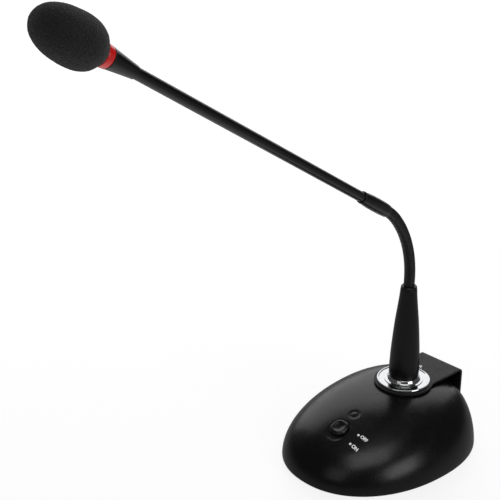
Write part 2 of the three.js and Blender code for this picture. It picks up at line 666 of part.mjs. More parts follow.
// A disc round the neck that runs back into a straight tab, bent down into a leg with a narrower tongue.
function makeBracket() {
  const top = BRACKET_BOTTOM + BRACKET_THICKNESS;
  const bendY = BRACKET_REAR - BRACKET_BEND_RADIUS;
  const bendZ = top - BRACKET_BEND_RADIUS;
  const filletX = BRACKET_HALF_WIDTH + BRACKET_FILLET;
  const filletY = Math.sqrt((BRACKET_DISC_RADIUS + BRACKET_FILLET) ** 2 - filletX ** 2);
  const meet = Math.atan2(filletY, filletX); // direction of the point where disc and fillet touch
  const outline = new THREE.Shape();
  outline.moveTo(BRACKET_HALF_WIDTH, bendY + 0.1);
  outline.lineTo(-BRACKET_HALF_WIDTH, bendY + 0.1);
  outline.lineTo(-BRACKET_HALF_WIDTH, filletY);
  outline.absarc(-filletX, filletY, BRACKET_FILLET, 0, -meet, true);
  outline.absarc(0, 0, BRACKET_DISC_RADIUS, Math.PI - meet, 2 * Math.PI + meet, false);
  outline.absarc(filletX, filletY, BRACKET_FILLET, Math.PI + meet, Math.PI, true);
  const plate = slab(outline, BRACKET_BOTTOM, top, 14);

  const inner = BRACKET_BEND_RADIUS - BRACKET_THICKNESS;
  const side = new THREE.Shape(); // drawn with the bracket's Y and Z
  side.moveTo(bendY, top);
  side.lineTo(bendY, BRACKET_BOTTOM);
  side.absarc(bendY, bendZ, inner, Math.PI / 2, 0, true);
  side.lineTo(bendY + inner, BRACKET_LEG_BOTTOM);
  side.lineTo(BRACKET_REAR, BRACKET_LEG_BOTTOM);
  side.absarc(bendY, bendZ, BRACKET_BEND_RADIUS, 0, Math.PI / 2, false);
  const leg = slab(side, -BRACKET_HALF_WIDTH, BRACKET_HALF_WIDTH, 5);
  leg.applyMatrix4(new THREE.Matrix4().makeBasis(
    new THREE.Vector3(0, 1, 0),
    new THREE.Vector3(0, 0, 1),
    new THREE.Vector3(1, 0, 0),
  ));
  const tongue = box(
    [-BRACKET_TONGUE_HALF_WIDTH, BRACKET_TONGUE_HALF_WIDTH],
    [BRACKET_REAR - BRACKET_THICKNESS, BRACKET_REAR],
    [BRACKET_TONGUE_BOTTOM, BRACKET_LEG_BOTTOM + 1],
  );
  return cut(
    join(plate, leg, tongue),
    rod(HARDWARE_BORE_RADIUS, 30, 50, 16),
    rod(1.5, 30, 50, 8).translate(...BRACKET_SCREW, 0),
  );
}

function makeStem() {
  return turned(
    [
      [HARDWARE_BORE_RADIUS, STEM_BOTTOM],
      ...STEM_PROFILE,
      [SOCKET_RADIUS, STEM_TOP],
      [SOCKET_RADIUS, STEM_SOCKET_BOTTOM],
      [1.9, STEM_SOCKET_BOTTOM],
      [1.9, THREAD_TOP + 1],
      [HARDWARE_BORE_RADIUS, THREAD_TOP + 1],
      [HARDWARE_BORE_RADIUS, STEM_BOTTOM],
    ],
    20,
  );
}

function addNeckHardware(base) {
  add(base, "rear_bracket", makeBracket(), blackPaint());
  const bracketTop = BRACKET_BOTTOM + BRACKET_THICKNESS;
  const bracketScrew = screw(2.2, 1.4, 1.2, 8, bracketTop + GAP).translate(...BRACKET_SCREW, 0);
  add(base, "bracket_screw", bracketScrew, chrome());
  const flange = turned(
    [
      [HARDWARE_BORE_RADIUS, FLANGE_BOTTOM],
      [FLANGE_RADIUS - 0.3, FLANGE_BOTTOM],
      [FLANGE_RADIUS, FLANGE_BOTTOM + 0.3],
      [FLANGE_RADIUS, FLANGE_RIM_TOP - 0.4],
      [FLANGE_RADIUS - 0.5, FLANGE_RIM_TOP],
      [FLANGE_RADIUS - 1.4, FLANGE_RIM_TOP - 0.1],
      [FLANGE_RADIUS - 1.9, FLANGE_TOP],
      [HARDWARE_BORE_RADIUS, FLANGE_TOP],
      [HARDWARE_BORE_RADIUS, FLANGE_BOTTOM],
    ],
    28,
  );
  add(base, "neck_flange", flange, chrome());
  const hub = turned(
    [
      [HARDWARE_BORE_RADIUS, FLANGE_TOP + GAP],
      [HUB_FOOT_RADIUS, FLANGE_TOP + GAP],
      [HUB_FOOT_RADIUS - 0.2, FLANGE_TOP + GAP + 0.15],
      [HUB_RADIUS + 0.2, HUB_TOP - 0.2],
      [HUB_RADIUS, HUB_TOP],
      [HARDWARE_BORE_RADIUS, HUB_TOP],
      [HARDWARE_BORE_RADIUS, FLANGE_TOP + GAP],
    ],
    20,
  );
  add(base, "neck_hub", hub, chrome());
  const tube = ring(THREAD_BORE_RADIUS, THREAD_RADIUS, THREAD_BOTTOM, THREAD_TOP, 16);
  add(base, "threaded_neck_tube", tube, zincSteel());
  const washer = ring(HARDWARE_BORE_RADIUS, 9, BOSS_BOTTOM - GAP - 1.2, BOSS_BOTTOM - GAP, 16);
  add(base, "neck_washer", washer, zincSteel());
  const nutTop = BOSS_BOTTOM - 2 * GAP - 1.2;
  const nut = cut(rod(8.1, nutTop - 3.4, nutTop, 6), rod(HARDWARE_BORE_RADIUS, 20, 40, 16));
  add(base, "neck_lock_nut", nut, zincSteel());
  add(base, "neck_stem", makeStem(), blackPaint());

  const leadPoints = [
    [0, -14, BOARD_BOTTOM + BOARD_THICKNESS + LEAD_RADIUS + GAP], [0, -8, 20.5], [0, -2.5, 24.5],
    [0, 0, 30], [0, 0, 45], [0, 0, 75], [0, 0, STEM_SOCKET_BOTTOM - 1],
  ];
  const leadRoute = new THREE.CatmullRomCurve3(leadPoints.map((point) => new THREE.Vector3(...point)));
  add(base, "base_lead", bar(leadRoute, LEAD_RADIUS, 16, 6), finish(0x202020, 0.6));
}

// ---- Flexible neck ----

// The neck's middle line at a distance from the stem's top: how far it has turned, and where it is.
// It goes straight on below the stem's top and beyond the neck's end.
function neckPoint(distance) {
  const inside = THREE.MathUtils.clamp(distance, 0, NECK_LENGTH);
  const outside = distance - inside;
  const straight = Math.min(inside, NECK_STRAIGHT);
  const low = Math.min(inside - straight, NECK_LOWER_LENGTH);
  const lowTurn = low / NECK_LOWER_BEND_RADIUS;
  const turn = lowTurn + (inside - straight - low) / NECK_UPPER_BEND_RADIUS;
  const lowY = NECK_LOWER_BEND_RADIUS * (Math.cos(lowTurn) - 1);
  const lowZ = NECK_LOWER_BEND_RADIUS * Math.sin(lowTurn);
  const highY = NECK_UPPER_BEND_RADIUS * (Math.cos(turn) - Math.cos(lowTurn));
  const highZ = NECK_UPPER_BEND_RADIUS * (Math.sin(turn) - Math.sin(lowTurn));
  const y = lowY + highY - outside * Math.sin(turn);
  const z = STEM_TOP + straight + lowZ + highZ + outside * Math.cos(turn);
  return { turn, y, z };
}

function neckRing(distance, radius) {
  const sides = 12;
  const { turn, y, z } = neckPoint(distance);
  const points = [];
  for (let side = 0; side < sides; side += 1) {
    const angle = (side / sides) * 2 * Math.PI;
    const out = radius * Math.sin(angle);
    points.push([radius * Math.cos(angle), y + out * Math.cos(turn), z + out * Math.sin(turn)]);
  }
  return points;
}

function hingeDistance(hinge) {
  const spacing = (NECK_LENGTH - 2 * NECK_END_STRETCH) / (NECK_HINGES - 1);
  return NECK_END_STRETCH + hinge * spacing;
}

// A link is bevelled where a hinge is, so that it can lean on its neighbour. The first and last end in plugs.
function makeLink(number) {
  const first = number === 0;
  const last = number === NECK_HINGES;
  const start = first ? GAP : hingeDistance(number - 1) + LINK_HALF_GAP;
  const end = last ? NECK_LENGTH - GAP : hingeDistance(number) - LINK_HALF_GAP;
  const rings = [];
  if (first) {
    rings.push(neckRing(STEM_SOCKET_BOTTOM + GAP - STEM_TOP, NECK_PLUG_RADIUS));
    rings.push(neckRing(start, NECK_PLUG_RADIUS));
    rings.push(neckRing(start, NECK_RADIUS));
  } else {
    rings.push(neckRing(start, LINK_FACE_RADIUS));
    rings.push(neckRing(start + LINK_BEVEL, NECK_RADIUS));
  }
  const bodyStart = first ? start : start + LINK_BEVEL;
  const bodyEnd = last ? end : end - LINK_BEVEL;
  rings.push(neckRing((2 * bodyStart + bodyEnd) / 3, NECK_RADIUS));
  rings.push(neckRing((bodyStart + 2 * bodyEnd) / 3, NECK_RADIUS));
  if (last) {
    rings.push(neckRing(end, NECK_RADIUS));
    rings.push(neckRing(end, NECK_PLUG_RADIUS));
    rings.push(neckRing(NECK_LENGTH + NECK_PLUG_LENGTH, NECK_PLUG_RADIUS));
  } else {
    rings.push(neckRing(end - LINK_BEVEL, NECK_RADIUS));
    rings.push(neckRing(end, LINK_FACE_RADIUS));
  }
  return loft(rings);
}

function addNeck(model) {
  for (let number = 0; number <= NECK_HINGES; number += 1) {
    add(model, `gooseneck_segment_${number + 1}`, makeLink(number), finish(0x1a1a1b, 0.55, 0.3));
  }
}

// ---- Arm and head ----

function makeCollar() {
  return turned(
    [
      [SOCKET_RADIUS, 0],
      [4.25, 0],
      [4.45, 0.8],
      [4.85, 6],
      [4.95, 14],
      [4.8, 22],
      [4.3, 29],
      [4.15, COLLAR_LENGTH],
      [TUBE_RADIUS + TUBE_FIT, COLLAR_LENGTH],
      [TUBE_RADIUS + TUBE_FIT, TUBE_START - GAP],
      [SOCKET_RADIUS, TUBE_START - GAP],
      [SOCKET_RADIUS, 0],
    ],
    16,
  );
}

function makeFerrule() {
  const bore = TUBE_RADIUS + TUBE_FIT;
  return turned(
    [
      [bore, FERRULE_START],
      [3.95, FERRULE_START],
      [4.05, FERRULE_START + 0.6],
      [FERRULE_END_RADIUS - 0.15, FERRULE_END - 1],
      [FERRULE_END_RADIUS, FERRULE_END],
      [SLEEVE_RADIUS + GAP, FERRULE_END],
      [SLEEVE_RADIUS + GAP, SLEEVE_START - 0.4],
      [bore, SLEEVE_START - 0.4],
      [bore, FERRULE_START],
    ],
    16,
  );
}

// The light ring has a lip at its far end that rests on the sleeve's shoulder.
function makeLightRing() {
  const inner = RING_RADIUS - RING_WALL;
  return turned(
    [
      [inner, RING_START],
      [RING_RADIUS - 0.2, RING_START],
      [RING_RADIUS, RING_START + 0.3],
      [RING_RADIUS, RING_END - 0.3],
      [RING_RADIUS - 0.2, RING_END],
      [SLEEVE_RADIUS + GAP, RING_END],
      [SLEEVE_RADIUS + GAP, RING_END - 1],
      [inner, RING_END - 1],
      [inner, RING_START],
    ],
    18,
  );
}

// A sleeve that plugs into the ferrule, then a thin cup round the capsule with slots in its end.
function makeHousing() {
  const innerRadius = HOUSING_RADIUS - HOUSING_WALL;
  const innerEnd = HOUSING_SHOULDER_END - HOUSING_WALL;
  const cup = turned(
    [
      [SLEEVE_RADIUS - 0.6, SLEEVE_START],
      [SLEEVE_RADIUS, SLEEVE_START],
      [SLEEVE_RADIUS, HOUSING_START],
      [HOUSING_RADIUS, HOUSING_START],
      [HOUSING_RADIUS, HOUSING_SHOULDER_END],
      [5.6, HOUSING_END - 1.4],
      [3.6, HOUSING_END - 0.3],
      [0, HOUSING_END],
      [0, HOUSING_END - HOUSING_WALL],
      [3.3, HOUSING_END - 0.8],
      [5.1, HOUSING_END - 1.8],
      [innerRadius, innerEnd],
      [innerRadius, HOUSING_START + 0.8],
      [SLEEVE_RADIUS - 0.6, HOUSING_START + 0.8],
      [SLEEVE_RADIUS - 0.6, SLEEVE_START],
    ],
    16,
  );
  const slots = [0, 1, 2].map((turn) =>
    box([-4, 4], [-0.5, 0.5], [HOUSING_END - 2.5, HOUSING_END + 1]).rotateZ((turn * Math.PI) / 3),
  );
  return cut(cup, ...slots);
}

function makeIsolator() {
  const inner = CAPSULE_RADIUS + GAP;
  const outer = HOUSING_RADIUS - HOUSING_WALL - GAP;
  const floor = CAPSULE_START - GAP;
  const profile = [
    [LEAD_RADIUS + GAP, floor - 1.2],
    [outer, floor - 1.2],
    [outer, CAPSULE_START + CAPSULE_LENGTH + 2],
    [inner, CAPSULE_START + CAPSULE_LENGTH + 2],
    [inner, floor],
    [LEAD_RADIUS + GAP, floor],
    [LEAD_RADIUS + GAP, floor - 1.2],
  ];
  return turned(profile, 14);
}

// Egg-shaped foam, a little fatter near its mouth, with a straight pocket for the housing.
function makeFoam() {
  const half = FOAM_LENGTH / 2;
  const steps = 12;
  const radiusAt = (along) =>
    FOAM_RADIUS * (1 - Math.abs(along) ** FOAM_SQUARENESS) ** (1 / FOAM_SQUARENESS) * (1 - FOAM_TAPER * along);
  const profile = [[FOAM_MOUTH_RADIUS, FOAM_START + 0.4]];
  for (let step = 1; step < steps; step += 1) {
    const along = -Math.cos((step / steps) * Math.PI);
    const radius = radiusAt(along);
    if (radius > FOAM_MOUTH_RADIUS || along > 0) profile.push([radius, FOAM_START + half * (1 + along)]);
  }
  profile.push([0, FOAM_START + FOAM_LENGTH]);
  profile.push([0, FOAM_POCKET_END]);
  profile.push([3.8, FOAM_POCKET_END - 0.3]);
  profile.push([5.95, FOAM_POCKET_END - 1.4]);
  profile.push([FOAM_MOUTH_RADIUS, FOAM_POCKET_END - 3.9]);
  profile.push([FOAM_MOUTH_RADIUS, FOAM_START + 0.4]);
  return turned(profile, 18);
}

function addArm(model) {
  const arm = new THREE.Group();
  const foot = neckPoint(NECK_LENGTH);
  arm.position.set(0, foot.y, foot.z);
  arm.rotation.x = NECK_BEND_ANGLE;
  model.add(arm);
  add(arm, "coupling_collar", makeCollar(), blackPaint());
  add(arm, "rigid_tube", ring(TUBE_RADIUS - TUBE_WALL, TUBE_RADIUS, TUBE_START, TUBE_END, 16), blackPaint());
  const leadEnd = CAPSULE_START - GAP;
  add(arm, "tube_lead", rod(LEAD_RADIUS, TUBE_START, leadEnd, 6), finish(0x202020, 0.6));
  add(arm, "head_ferrule", makeFerrule(), blackPaint());
  add(arm, "light_ring", makeLightRing(), finish(0xc01a18, 0.15));
  const ledBoard = ring(SLEEVE_RADIUS + GAP, RING_RADIUS - RING_WALL - GAP, RING_START + GAP, RING_START + 1.3, 18);
  add(arm, "led_ring_board", ledBoard, boardGreen());
  add(arm, "capsule_housing", makeHousing(), blackPaint());
  add(arm, "capsule_isolator", makeIsolator(), rubber());
  const capsule = rod(CAPSULE_RADIUS, CAPSULE_START, CAPSULE_START + CAPSULE_LENGTH, 16);
  add(arm, "mic_capsule", capsule, finish(0xb7babd, 0.3, 0.9));
  add(arm, "foam_windscreen", makeFoam(), finish(0x1c1c1c, 1));
}

// ---- The whole microphone ----

const microphone = new THREE.Group();
const switchFrame = surfaceFrame(SWITCH_Y);
const indicatorFrame = surfaceFrame(INDICATOR_Y);
microphone.add(switchFrame, indicatorFrame);
addBase(microphone, switchFrame, indicatorFrame);
addBatteries(microphone);
addElectronics(microphone, switchFrame);
addControls(switchFrame, indicatorFrame);
addSocket(microphone);
addNeckHardware(microphone);
addNeck(microphone);
addArm(microphone);

export default microphone;
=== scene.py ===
"""The looks of a gooseneck podium microphone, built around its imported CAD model.

Shapes are written in millimetres and turned into metres where a mesh is made. +Z is up, the arm leans to -Y.
"""

import json
import math

import bpy
import numpy as np
from mathutils import Matrix, Vector, noise


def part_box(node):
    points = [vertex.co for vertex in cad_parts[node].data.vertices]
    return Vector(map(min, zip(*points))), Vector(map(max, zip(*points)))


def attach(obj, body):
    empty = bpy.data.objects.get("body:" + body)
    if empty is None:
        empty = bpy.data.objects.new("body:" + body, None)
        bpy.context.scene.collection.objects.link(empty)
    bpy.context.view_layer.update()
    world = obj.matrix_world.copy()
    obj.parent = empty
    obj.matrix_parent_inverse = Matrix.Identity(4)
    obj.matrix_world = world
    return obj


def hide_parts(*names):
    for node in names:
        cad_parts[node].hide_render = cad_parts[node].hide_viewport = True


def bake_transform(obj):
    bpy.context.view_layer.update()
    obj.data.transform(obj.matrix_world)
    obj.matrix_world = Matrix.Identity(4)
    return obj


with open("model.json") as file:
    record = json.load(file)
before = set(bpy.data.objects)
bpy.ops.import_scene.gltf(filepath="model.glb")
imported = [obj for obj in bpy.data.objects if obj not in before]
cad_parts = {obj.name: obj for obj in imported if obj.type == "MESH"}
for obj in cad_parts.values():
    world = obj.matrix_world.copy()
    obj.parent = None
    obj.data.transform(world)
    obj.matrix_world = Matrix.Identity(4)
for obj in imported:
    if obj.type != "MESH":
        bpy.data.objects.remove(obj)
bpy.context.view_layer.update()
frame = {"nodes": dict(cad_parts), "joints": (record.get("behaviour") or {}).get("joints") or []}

MM = 0.001
nodes = frame["nodes"]
joints = {joint["name"]: joint for joint in frame["joints"]}

# ---- Driving dimensions: the CAD model's, and those of its finer shapes ----

DOME_HEIGHT = 42
DOME_FRONT = 104.5
DOME_REAR = 50.6
DOME_WIDTH = 124
DOME_WIDENING = 0.064
DOME_SQUARENESS = 2.19
DOME_SIDE_POWER = 1.9
DOME_TOP_POWER = 3.02
DOME_LEAN_POWER = 2.27
DOME_TOP_Y = -5.8
SHELL_WALL = 2.5
SHELL_BOTTOM = 0.6
SEAT_HEIGHT = 41.7
SEAT_THICKNESS = 4.8
BOLT_HOLE_RADIUS = 5.6
INDICATOR_HOLE = 2.55
SOCKET_HOLE = 3.2
NUT_SEAT_RADIUS = 5.3
NUT_SEAT_Y = 47.55
FINE_WIDTH = 0.27  # share of the casing's width, to either side of the front, where its points are closest
FINE_LEVELS = (26, 39)  # heights between which its outlines are closest, round the switch
INNER_TOP = 0.93  # share of the hollow's height up to which its wall follows the dome

CONTROLS_X = 2.3
SWITCH_Y = -71.6
INDICATOR_Y = -56.2
SLOPE_REACH = 4  # the slope is measured that far to either side
PRESSED_FRONT = -35  # the dish and the recess are pressed only into the casing in front of this
PRESSED_BOTTOM = 15  # and above this
DISH_HALF = (8.4, 10.4)
DISH_CORNER = 7
DISH_DEPTH = 0.55
DISH_SHIFT = 2  # the dish is longer down the slope, where the knob travels
DISH_EDGE = 3
RECESS_RADIUS = 5.6
RECESS_DEPTH = 0.3
KNOB_HALF = 6.6
KNOB_CORNER = 5.4
KNOB_TOP = 1.75
KNOB_BOTTOM = -0.4
LABELS = (("OFF", (17.8, -68.4), (19.7, -69)), ("ON", (17.9, -76.8), (19.7, -77.9)))  # word, dot, text
LABEL_SIZE = 3.3
LABEL_WEIGHT = 0.15
LABEL_HALF_DEPTH = 0.03
LABEL_LIFT = 0.05
DOT_RADIUS = 0.85

NECK_RADIUS = 4.05
NECK_STRAIGHT = 6
NECK_LOWER_BEND = 76.5
NECK_LOWER_ANGLE = math.radians(42)
NECK_UPPER_BEND = 45.6
NECK_END = 5  # from each end of the flexible neck to the pivot nearest to it
SKIN_LAP = 3  # how far the skin reaches into the stem and the collar
RIDGE_PITCH = 1.35
RIDGE_DEPTH = 0.3

RING_NEAR_SHIFT = 2.3  # the red band is narrower than its CAD ring, and starts nearer the foam
RING_FAR_SHIFT = 0.9
FOAM_RADIUS = 14.7
FOAM_SQUARENESS = 2.35
FOAM_TAPER = 0.11
FOAM_BORE = 6.85
POCKET_DEPTH = 14  # from the foam's tip to the pocket for the capsule housing

HARDWARE_BORE = 5.4  # round the threaded tube
BRACKET_THICKNESS = 1.5
BRACKET_DISC = 21.9
BRACKET_TAB = 18.6
BRACKET_FILLET = 6
BRACKET_BEND = 4
BRACKET_TONGUE = 10
BLOCK_HALF_WIDTH = 21.5
BLOCK_FRONT = 43.7
BLOCK_TOP = 27
DOOR_PIN = 2.2  # how far the battery door's hinge pins stand out at its sides
DOOR_GAP = 0.4
TRAY_SCREW_X = 34.5
WINDOW_HALF_WIDTH = 33.2  # the pad's opening round the door

# ---- Places read from the frame ----


def low(node):
    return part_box(node)[0] / MM


def high(node):
    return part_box(node)[1] / MM


STEM_TOP = high("neck_stem").z
ARM_AXIS = Vector(joints["windscreen_pull"]["axis"]).normalized()
BEND_ANGLE = math.acos(ARM_AXIS.z)
NECK_LOWER_LENGTH = NECK_LOWER_BEND * NECK_LOWER_ANGLE
NECK_LENGTH = NECK_STRAIGHT + NECK_LOWER_LENGTH + NECK_UPPER_BEND * (BEND_ANGLE - NECK_LOWER_ANGLE)


def neck_frame(distance):
    """A frame on the neck's middle line: local Z runs along the neck, local X is the world's."""
    inside = min(max(distance, 0), NECK_LENGTH)
    outside = distance - inside
    straight = min(inside, NECK_STRAIGHT)
    lower = min(inside - straight, NECK_LOWER_LENGTH)
    first = lower / NECK_LOWER_BEND
    angle = first + (inside - straight - lower) / NECK_UPPER_BEND
    y = NECK_LOWER_BEND * (math.cos(first) - 1)
    y += NECK_UPPER_BEND * (math.cos(angle) - math.cos(first)) - outside * math.sin(angle)
    z = STEM_TOP + straight + NECK_LOWER_BEND * math.sin(first)
    z += NECK_UPPER_BEND * (math.sin(angle) - math.sin(first)) + outside * math.cos(angle)
    return Matrix.Translation((0, y, z)) @ Matrix.Rotation(angle, 4, "X")


ARM = neck_frame(NECK_LENGTH)  # local Z runs along the arm, from the top of the flexible neck
ARM_INVERSE = ARM.inverted()


def along_arm(node):
    """Where a CAD node starts and ends along the arm."""
    reach = [(ARM_INVERSE @ (vertex.co / MM)).z for vertex in nodes[node].data.vertices]
    return min(reach), max(reach)


# ---- Mesh helpers ----


def add_object(name, data):
    made = bpy.data.objects.new(name, data)
    bpy.context.scene.collection.objects.link(made)
    return made


def new_object(name, points, faces, crease=35):
    """A mesh object from points in millimetres, smooth but for edges sharper than the crease angle."""
    mesh = bpy.data.meshes.new(name)
    mesh.from_pydata([Vector(point) * MM for point in points], [], faces)
    mesh.validate()
    mesh.shade_smooth()
    mesh.set_sharp_from_angle(angle=math.radians(crease))
    return add_object(name, mesh)


def rounded(corners, steps=4):
    """A profile's points. Each corner is (radius, height) or (radius, height, fillet)."""
    profile = []
    for index, corner in enumerate(corners):
        here = Vector(corner[:2])
        if len(corner) < 3 or not corner[2] or index in (0, len(corners) - 1):
            profile.append(here)
            continue
        before = Vector(corners[index - 1][:2]) - here
        after = Vector(corners[index + 1][:2]) - here
        half = before.angle(after) / 2
        reach = min(corner[2] / math.tan(half), 0.49 * before.length, 0.49 * after.length)
        radius = reach * math.tan(half)
        centre = here + (before.normalized() + after.normalized()).normalized() * radius / math.sin(half)
        start = here + before.normalized() * reach - centre
        sweep = start.angle_signed(here + after.normalized() * reach - centre)
        for step in range(steps + 1):
            turn = Matrix.Rotation(-sweep * step / steps, 2)
            profile.append(centre + turn @ start)
    return profile


def lathe(name, corners, place=None, sides=96, closed=False, crease=35, steps=4):
    """A turned piece. A closed profile goes round on itself, like a ring's; an open one ends on the axis."""
    place = place or Matrix()
    points, rings = [], []
    for radius, height in rounded(corners, steps):
        if radius < 1e-6:
            rings.append([len(points)] * sides)
            points.append(place @ Vector((0, 0, height)))
            continue
        rings.append(list(range(len(points), len(points) + sides)))
        for side in range(sides):
            angle = 2 * math.pi * side / sides
            points.append(place @ Vector((radius * math.cos(angle), radius * math.sin(angle), height)))
    return new_object(name, points, ring_faces(rings, closed), crease)


def ring_faces(rings, closed=False):
    """The faces between rings of point numbers. A ring that is one point makes triangles."""
    count = len(rings[0])
    faces = []
    for lower, upper in zip(rings, rings[1:] + rings[:1] if closed else rings[1:]):
        for here in range(count):
            there = (here + 1) % count
            corners = [lower[here], lower[there], upper[there], upper[here]]
            face = list(dict.fromkeys(corners))
            if len(face) > 2:
                faces.append(face)
    return faces


def rounded_rectangle(half_x, half_y, corner, per_side=10, per_corner=10):
    """The outline of a rectangle with round corners, anticlockwise."""
    x, y = half_x - corner, half_y - corner
    centres = [Vector(place) for place in ((x, y), (-x, y), (-x, -y), (x, -y))]
    outline = []
    for quarter, centre in enumerate(centres):
        for step in range(per_corner + 1):
            angle = math.pi / 2 * (quarter + step / per_corner)
            spoke = corner * Vector((math.cos(angle), math.sin(angle)))
            outline.append(centre + spoke)
        start = outline[-1]
        end = centres[(quarter + 1) % 4] + spoke
        outline += [start.lerp(end, step / per_side) for step in range(1, per_side)]
    return outline


def loft(name, rings, closed=False, crease=35):
    """A piece through rings with equal numbers of points. It goes round on itself, or has end caps."""
    count = len(rings[0])
    points = [point for ring in rings for point in ring]
    numbers = [list(range(level * count, (level + 1) * count)) for level in range(len(rings))]
    faces = ring_faces(numbers, closed)
    if not closed:
        faces += [numbers[0][::-1], numbers[-1]]
    return new_object(name, points, faces, crease)


def bake(piece, crease=35):
    """Makes a piece's modifiers part of its mesh."""
    depsgraph = bpy.context.evaluated_depsgraph_get()
    mesh = bpy.data.meshes.new_from_object(piece.evaluated_get(depsgraph))
    piece.modifiers.clear()
    piece.data = mesh
    mesh.shade_smooth()
    mesh.set_sharp_from_angle(angle=math.radians(crease))


def combine(piece, operation, parts, crease=35):
    """Cuts closed meshes out of a piece, or joins them to it."""
    for part in parts:
        modifier = piece.modifiers.new("combine", "BOOLEAN")
        modifier.operation = operation
        modifier.solver = "EXACT"
        modifier.object = part
    bake(piece, crease)
    for part in parts:
        bpy.data.objects.remove(part)


def carve(piece, *cutters):
    combine(piece, "DIFFERENCE", cutters)


def rod(radius, bottom, top, place=None, sides=48):
    """A plain round cutter."""
    return lathe("cutter", [(0, bottom), (radius, bottom), (radius, top), (0, top)], place, sides)


def block(x, y, z):
    """A plain rectangular cutter."""
    rings = [[(x[0], y[0], h), (x[1], y[0], h), (x[1], y[1], h), (x[0], y[1], h)] for h in z]
    return loft("cutter", rings)


# ---- Materials ----


def tinted(colour, factor):
    return (*[min(channel * factor, 1) for channel in colour], 1)


class Finish:
    """A procedural material: patches of colour and gloss, and a fine grain, all in the piece's own space."""

    def __init__(self, name, colour, roughness, metallic=0.0):
        self.material = bpy.data.materials.new(name)
        self.material.use_nodes = True
        self.tree = self.material.node_tree
        self.shader = self.tree.nodes["Principled BSDF"]
        self.shader.inputs["Metallic"].default_value = metallic
        self.colour = colour
        self.roughness = roughness
        self.height = None
        self.place = self.node("ShaderNodeTexCoord").outputs["Object"]

    def node(self, kind, **settings):
        made = self.tree.nodes.new(kind)
        for key, value in settings.items():
            setattr(made, key, value)
        return made

    def link(self, source, target):
        self.tree.links.new(source, target)

    def value(self, socket, amount):
        self.shader.inputs[socket].default_value = amount
        return self

    def glow(self, strength, colour=(1, 1, 1, 1)):
        return self.value("Emission Color", colour).value("Emission Strength", strength)

    def cloud(self, size, detail=3.0):
        """A noise whose patches are about that many millimetres across."""
        cloud = self.node("ShaderNodeTexNoise")
        cloud.inputs["Scale"].default_value = 1 / (size * MM)
        cloud.inputs["Detail"].default_value = detail
        self.link(self.place, cloud.inputs["Vector"])
        return cloud.outputs["Fac"]

    def cells(self, size, feature="F1"):
        cells = self.node("ShaderNodeTexVoronoi", feature=feature)
        cells.inputs["Scale"].default_value = 1 / (size * MM)
        self.link(self.place, cells.inputs["Vector"])
        return cells.outputs["Distance"]

    def ramp(self, source, low_value, high_value, start=0.3, end=0.7):
        scaled = self.node("ShaderNodeMapRange")
        limits = {"From Min": start, "From Max": end, "To Min": low_value, "To Max": high_value}
        for socket, amount in limits.items():
            scaled.inputs[socket].default_value = amount
        self.link(source, scaled.inputs["Value"])
        return scaled.outputs["Result"]

    def mottle(self, source, spread):
        """Lets the colour drift lighter and darker by that share."""
        mix = self.node("ShaderNodeMix", data_type="RGBA")
        mix.inputs["A"].default_value = tinted(self.colour, 1 - spread)
        mix.inputs["B"].default_value = tinted(self.colour, 1 + spread)
        self.link(self.ramp(source, 0, 1), mix.inputs["Factor"])
        self.link(mix.outputs["Result"], self.shader.inputs["Base Color"])
        return self

    def gloss(self, source, spread):
        drift = self.ramp(source, self.roughness - spread, self.roughness + spread)
        self.link(drift, self.shader.inputs["Roughness"])
        return self

    def grain(self, source, depth):
        """Raises the surface by up to that many millimetres."""
        bump = self.node("ShaderNodeBump")
        bump.inputs["Distance"].default_value = depth * MM
        self.link(source, bump.inputs["Height"])
        if self.height:
            self.link(self.height, bump.inputs["Normal"])
        self.height = bump.outputs["Normal"]
        self.link(self.height, self.shader.inputs["Normal"])
        return self


def satin_plastic(name, colour, roughness, grain=0.012):
    finish = Finish(name, colour, roughness)
    finish.mottle(finish.cloud(26), 0.08)
    finish.gloss(finish.cloud(9, 4), 0.035)
    finish.grain(finish.cloud(0.28, 2), grain)
    return finish


def powder_coat(name, colour, roughness, depth=0.03):
    finish = Finish(name, colour, roughness)
    finish.mottle(finish.cloud(14), 0.1)
    finish.gloss(finish.cloud(3, 4), 0.05)
    finish.grain(finish.cells(0.45, "SMOOTH_F1"), depth)
    finish.grain(finish.cloud(1.6, 2), depth * 0.6)
    return finish


def polished_metal(name, colour, roughness):
    finish = Finish(name, colour, roughness, metallic=1.0)
    finish.mottle(finish.cloud(6), 0.03)
    finish.gloss(finish.cloud(2.2, 5), roughness * 0.4)
    finish.grain(finish.cloud(0.6, 2), 0.0015)
    return finish


def worked_metal(name, colour, roughness, depth=0.01):
    finish = Finish(name, colour, roughness, metallic=1.0)
    finish.mottle(finish.cloud(3, 4), 0.12)
    finish.gloss(finish.cloud(1.5, 4), roughness * 0.3)
    finish.grain(finish.cloud(0.4, 3), depth)
    return finish


def moulded(name, colour, roughness, spread=0.08, depth=0.015):
    finish = Finish(name, colour, roughness)
    finish.mottle(finish.cloud(4, 4), spread)
    finish.gloss(finish.cloud(2, 3), 0.05)
    finish.grain(finish.cloud(0.5, 3), depth)
    return finish


def open_foam(name, colour):
    """Cut foam: dark pores between lighter strands."""
    finish = Finish(name, colour, 0.95)
    finish.mottle(finish.cloud(1.2, 4), 0.6)
    finish.gloss(finish.cloud(3), 0.04)
    finish.grain(finish.cells(0.6), 0.35)
    finish.grain(finish.cloud(1.5, 3), 0.4)
    return finish.value("Sheen Weight", 0.25).value("Sheen Roughness", 0.6).value("Specular IOR Level", 0.2)


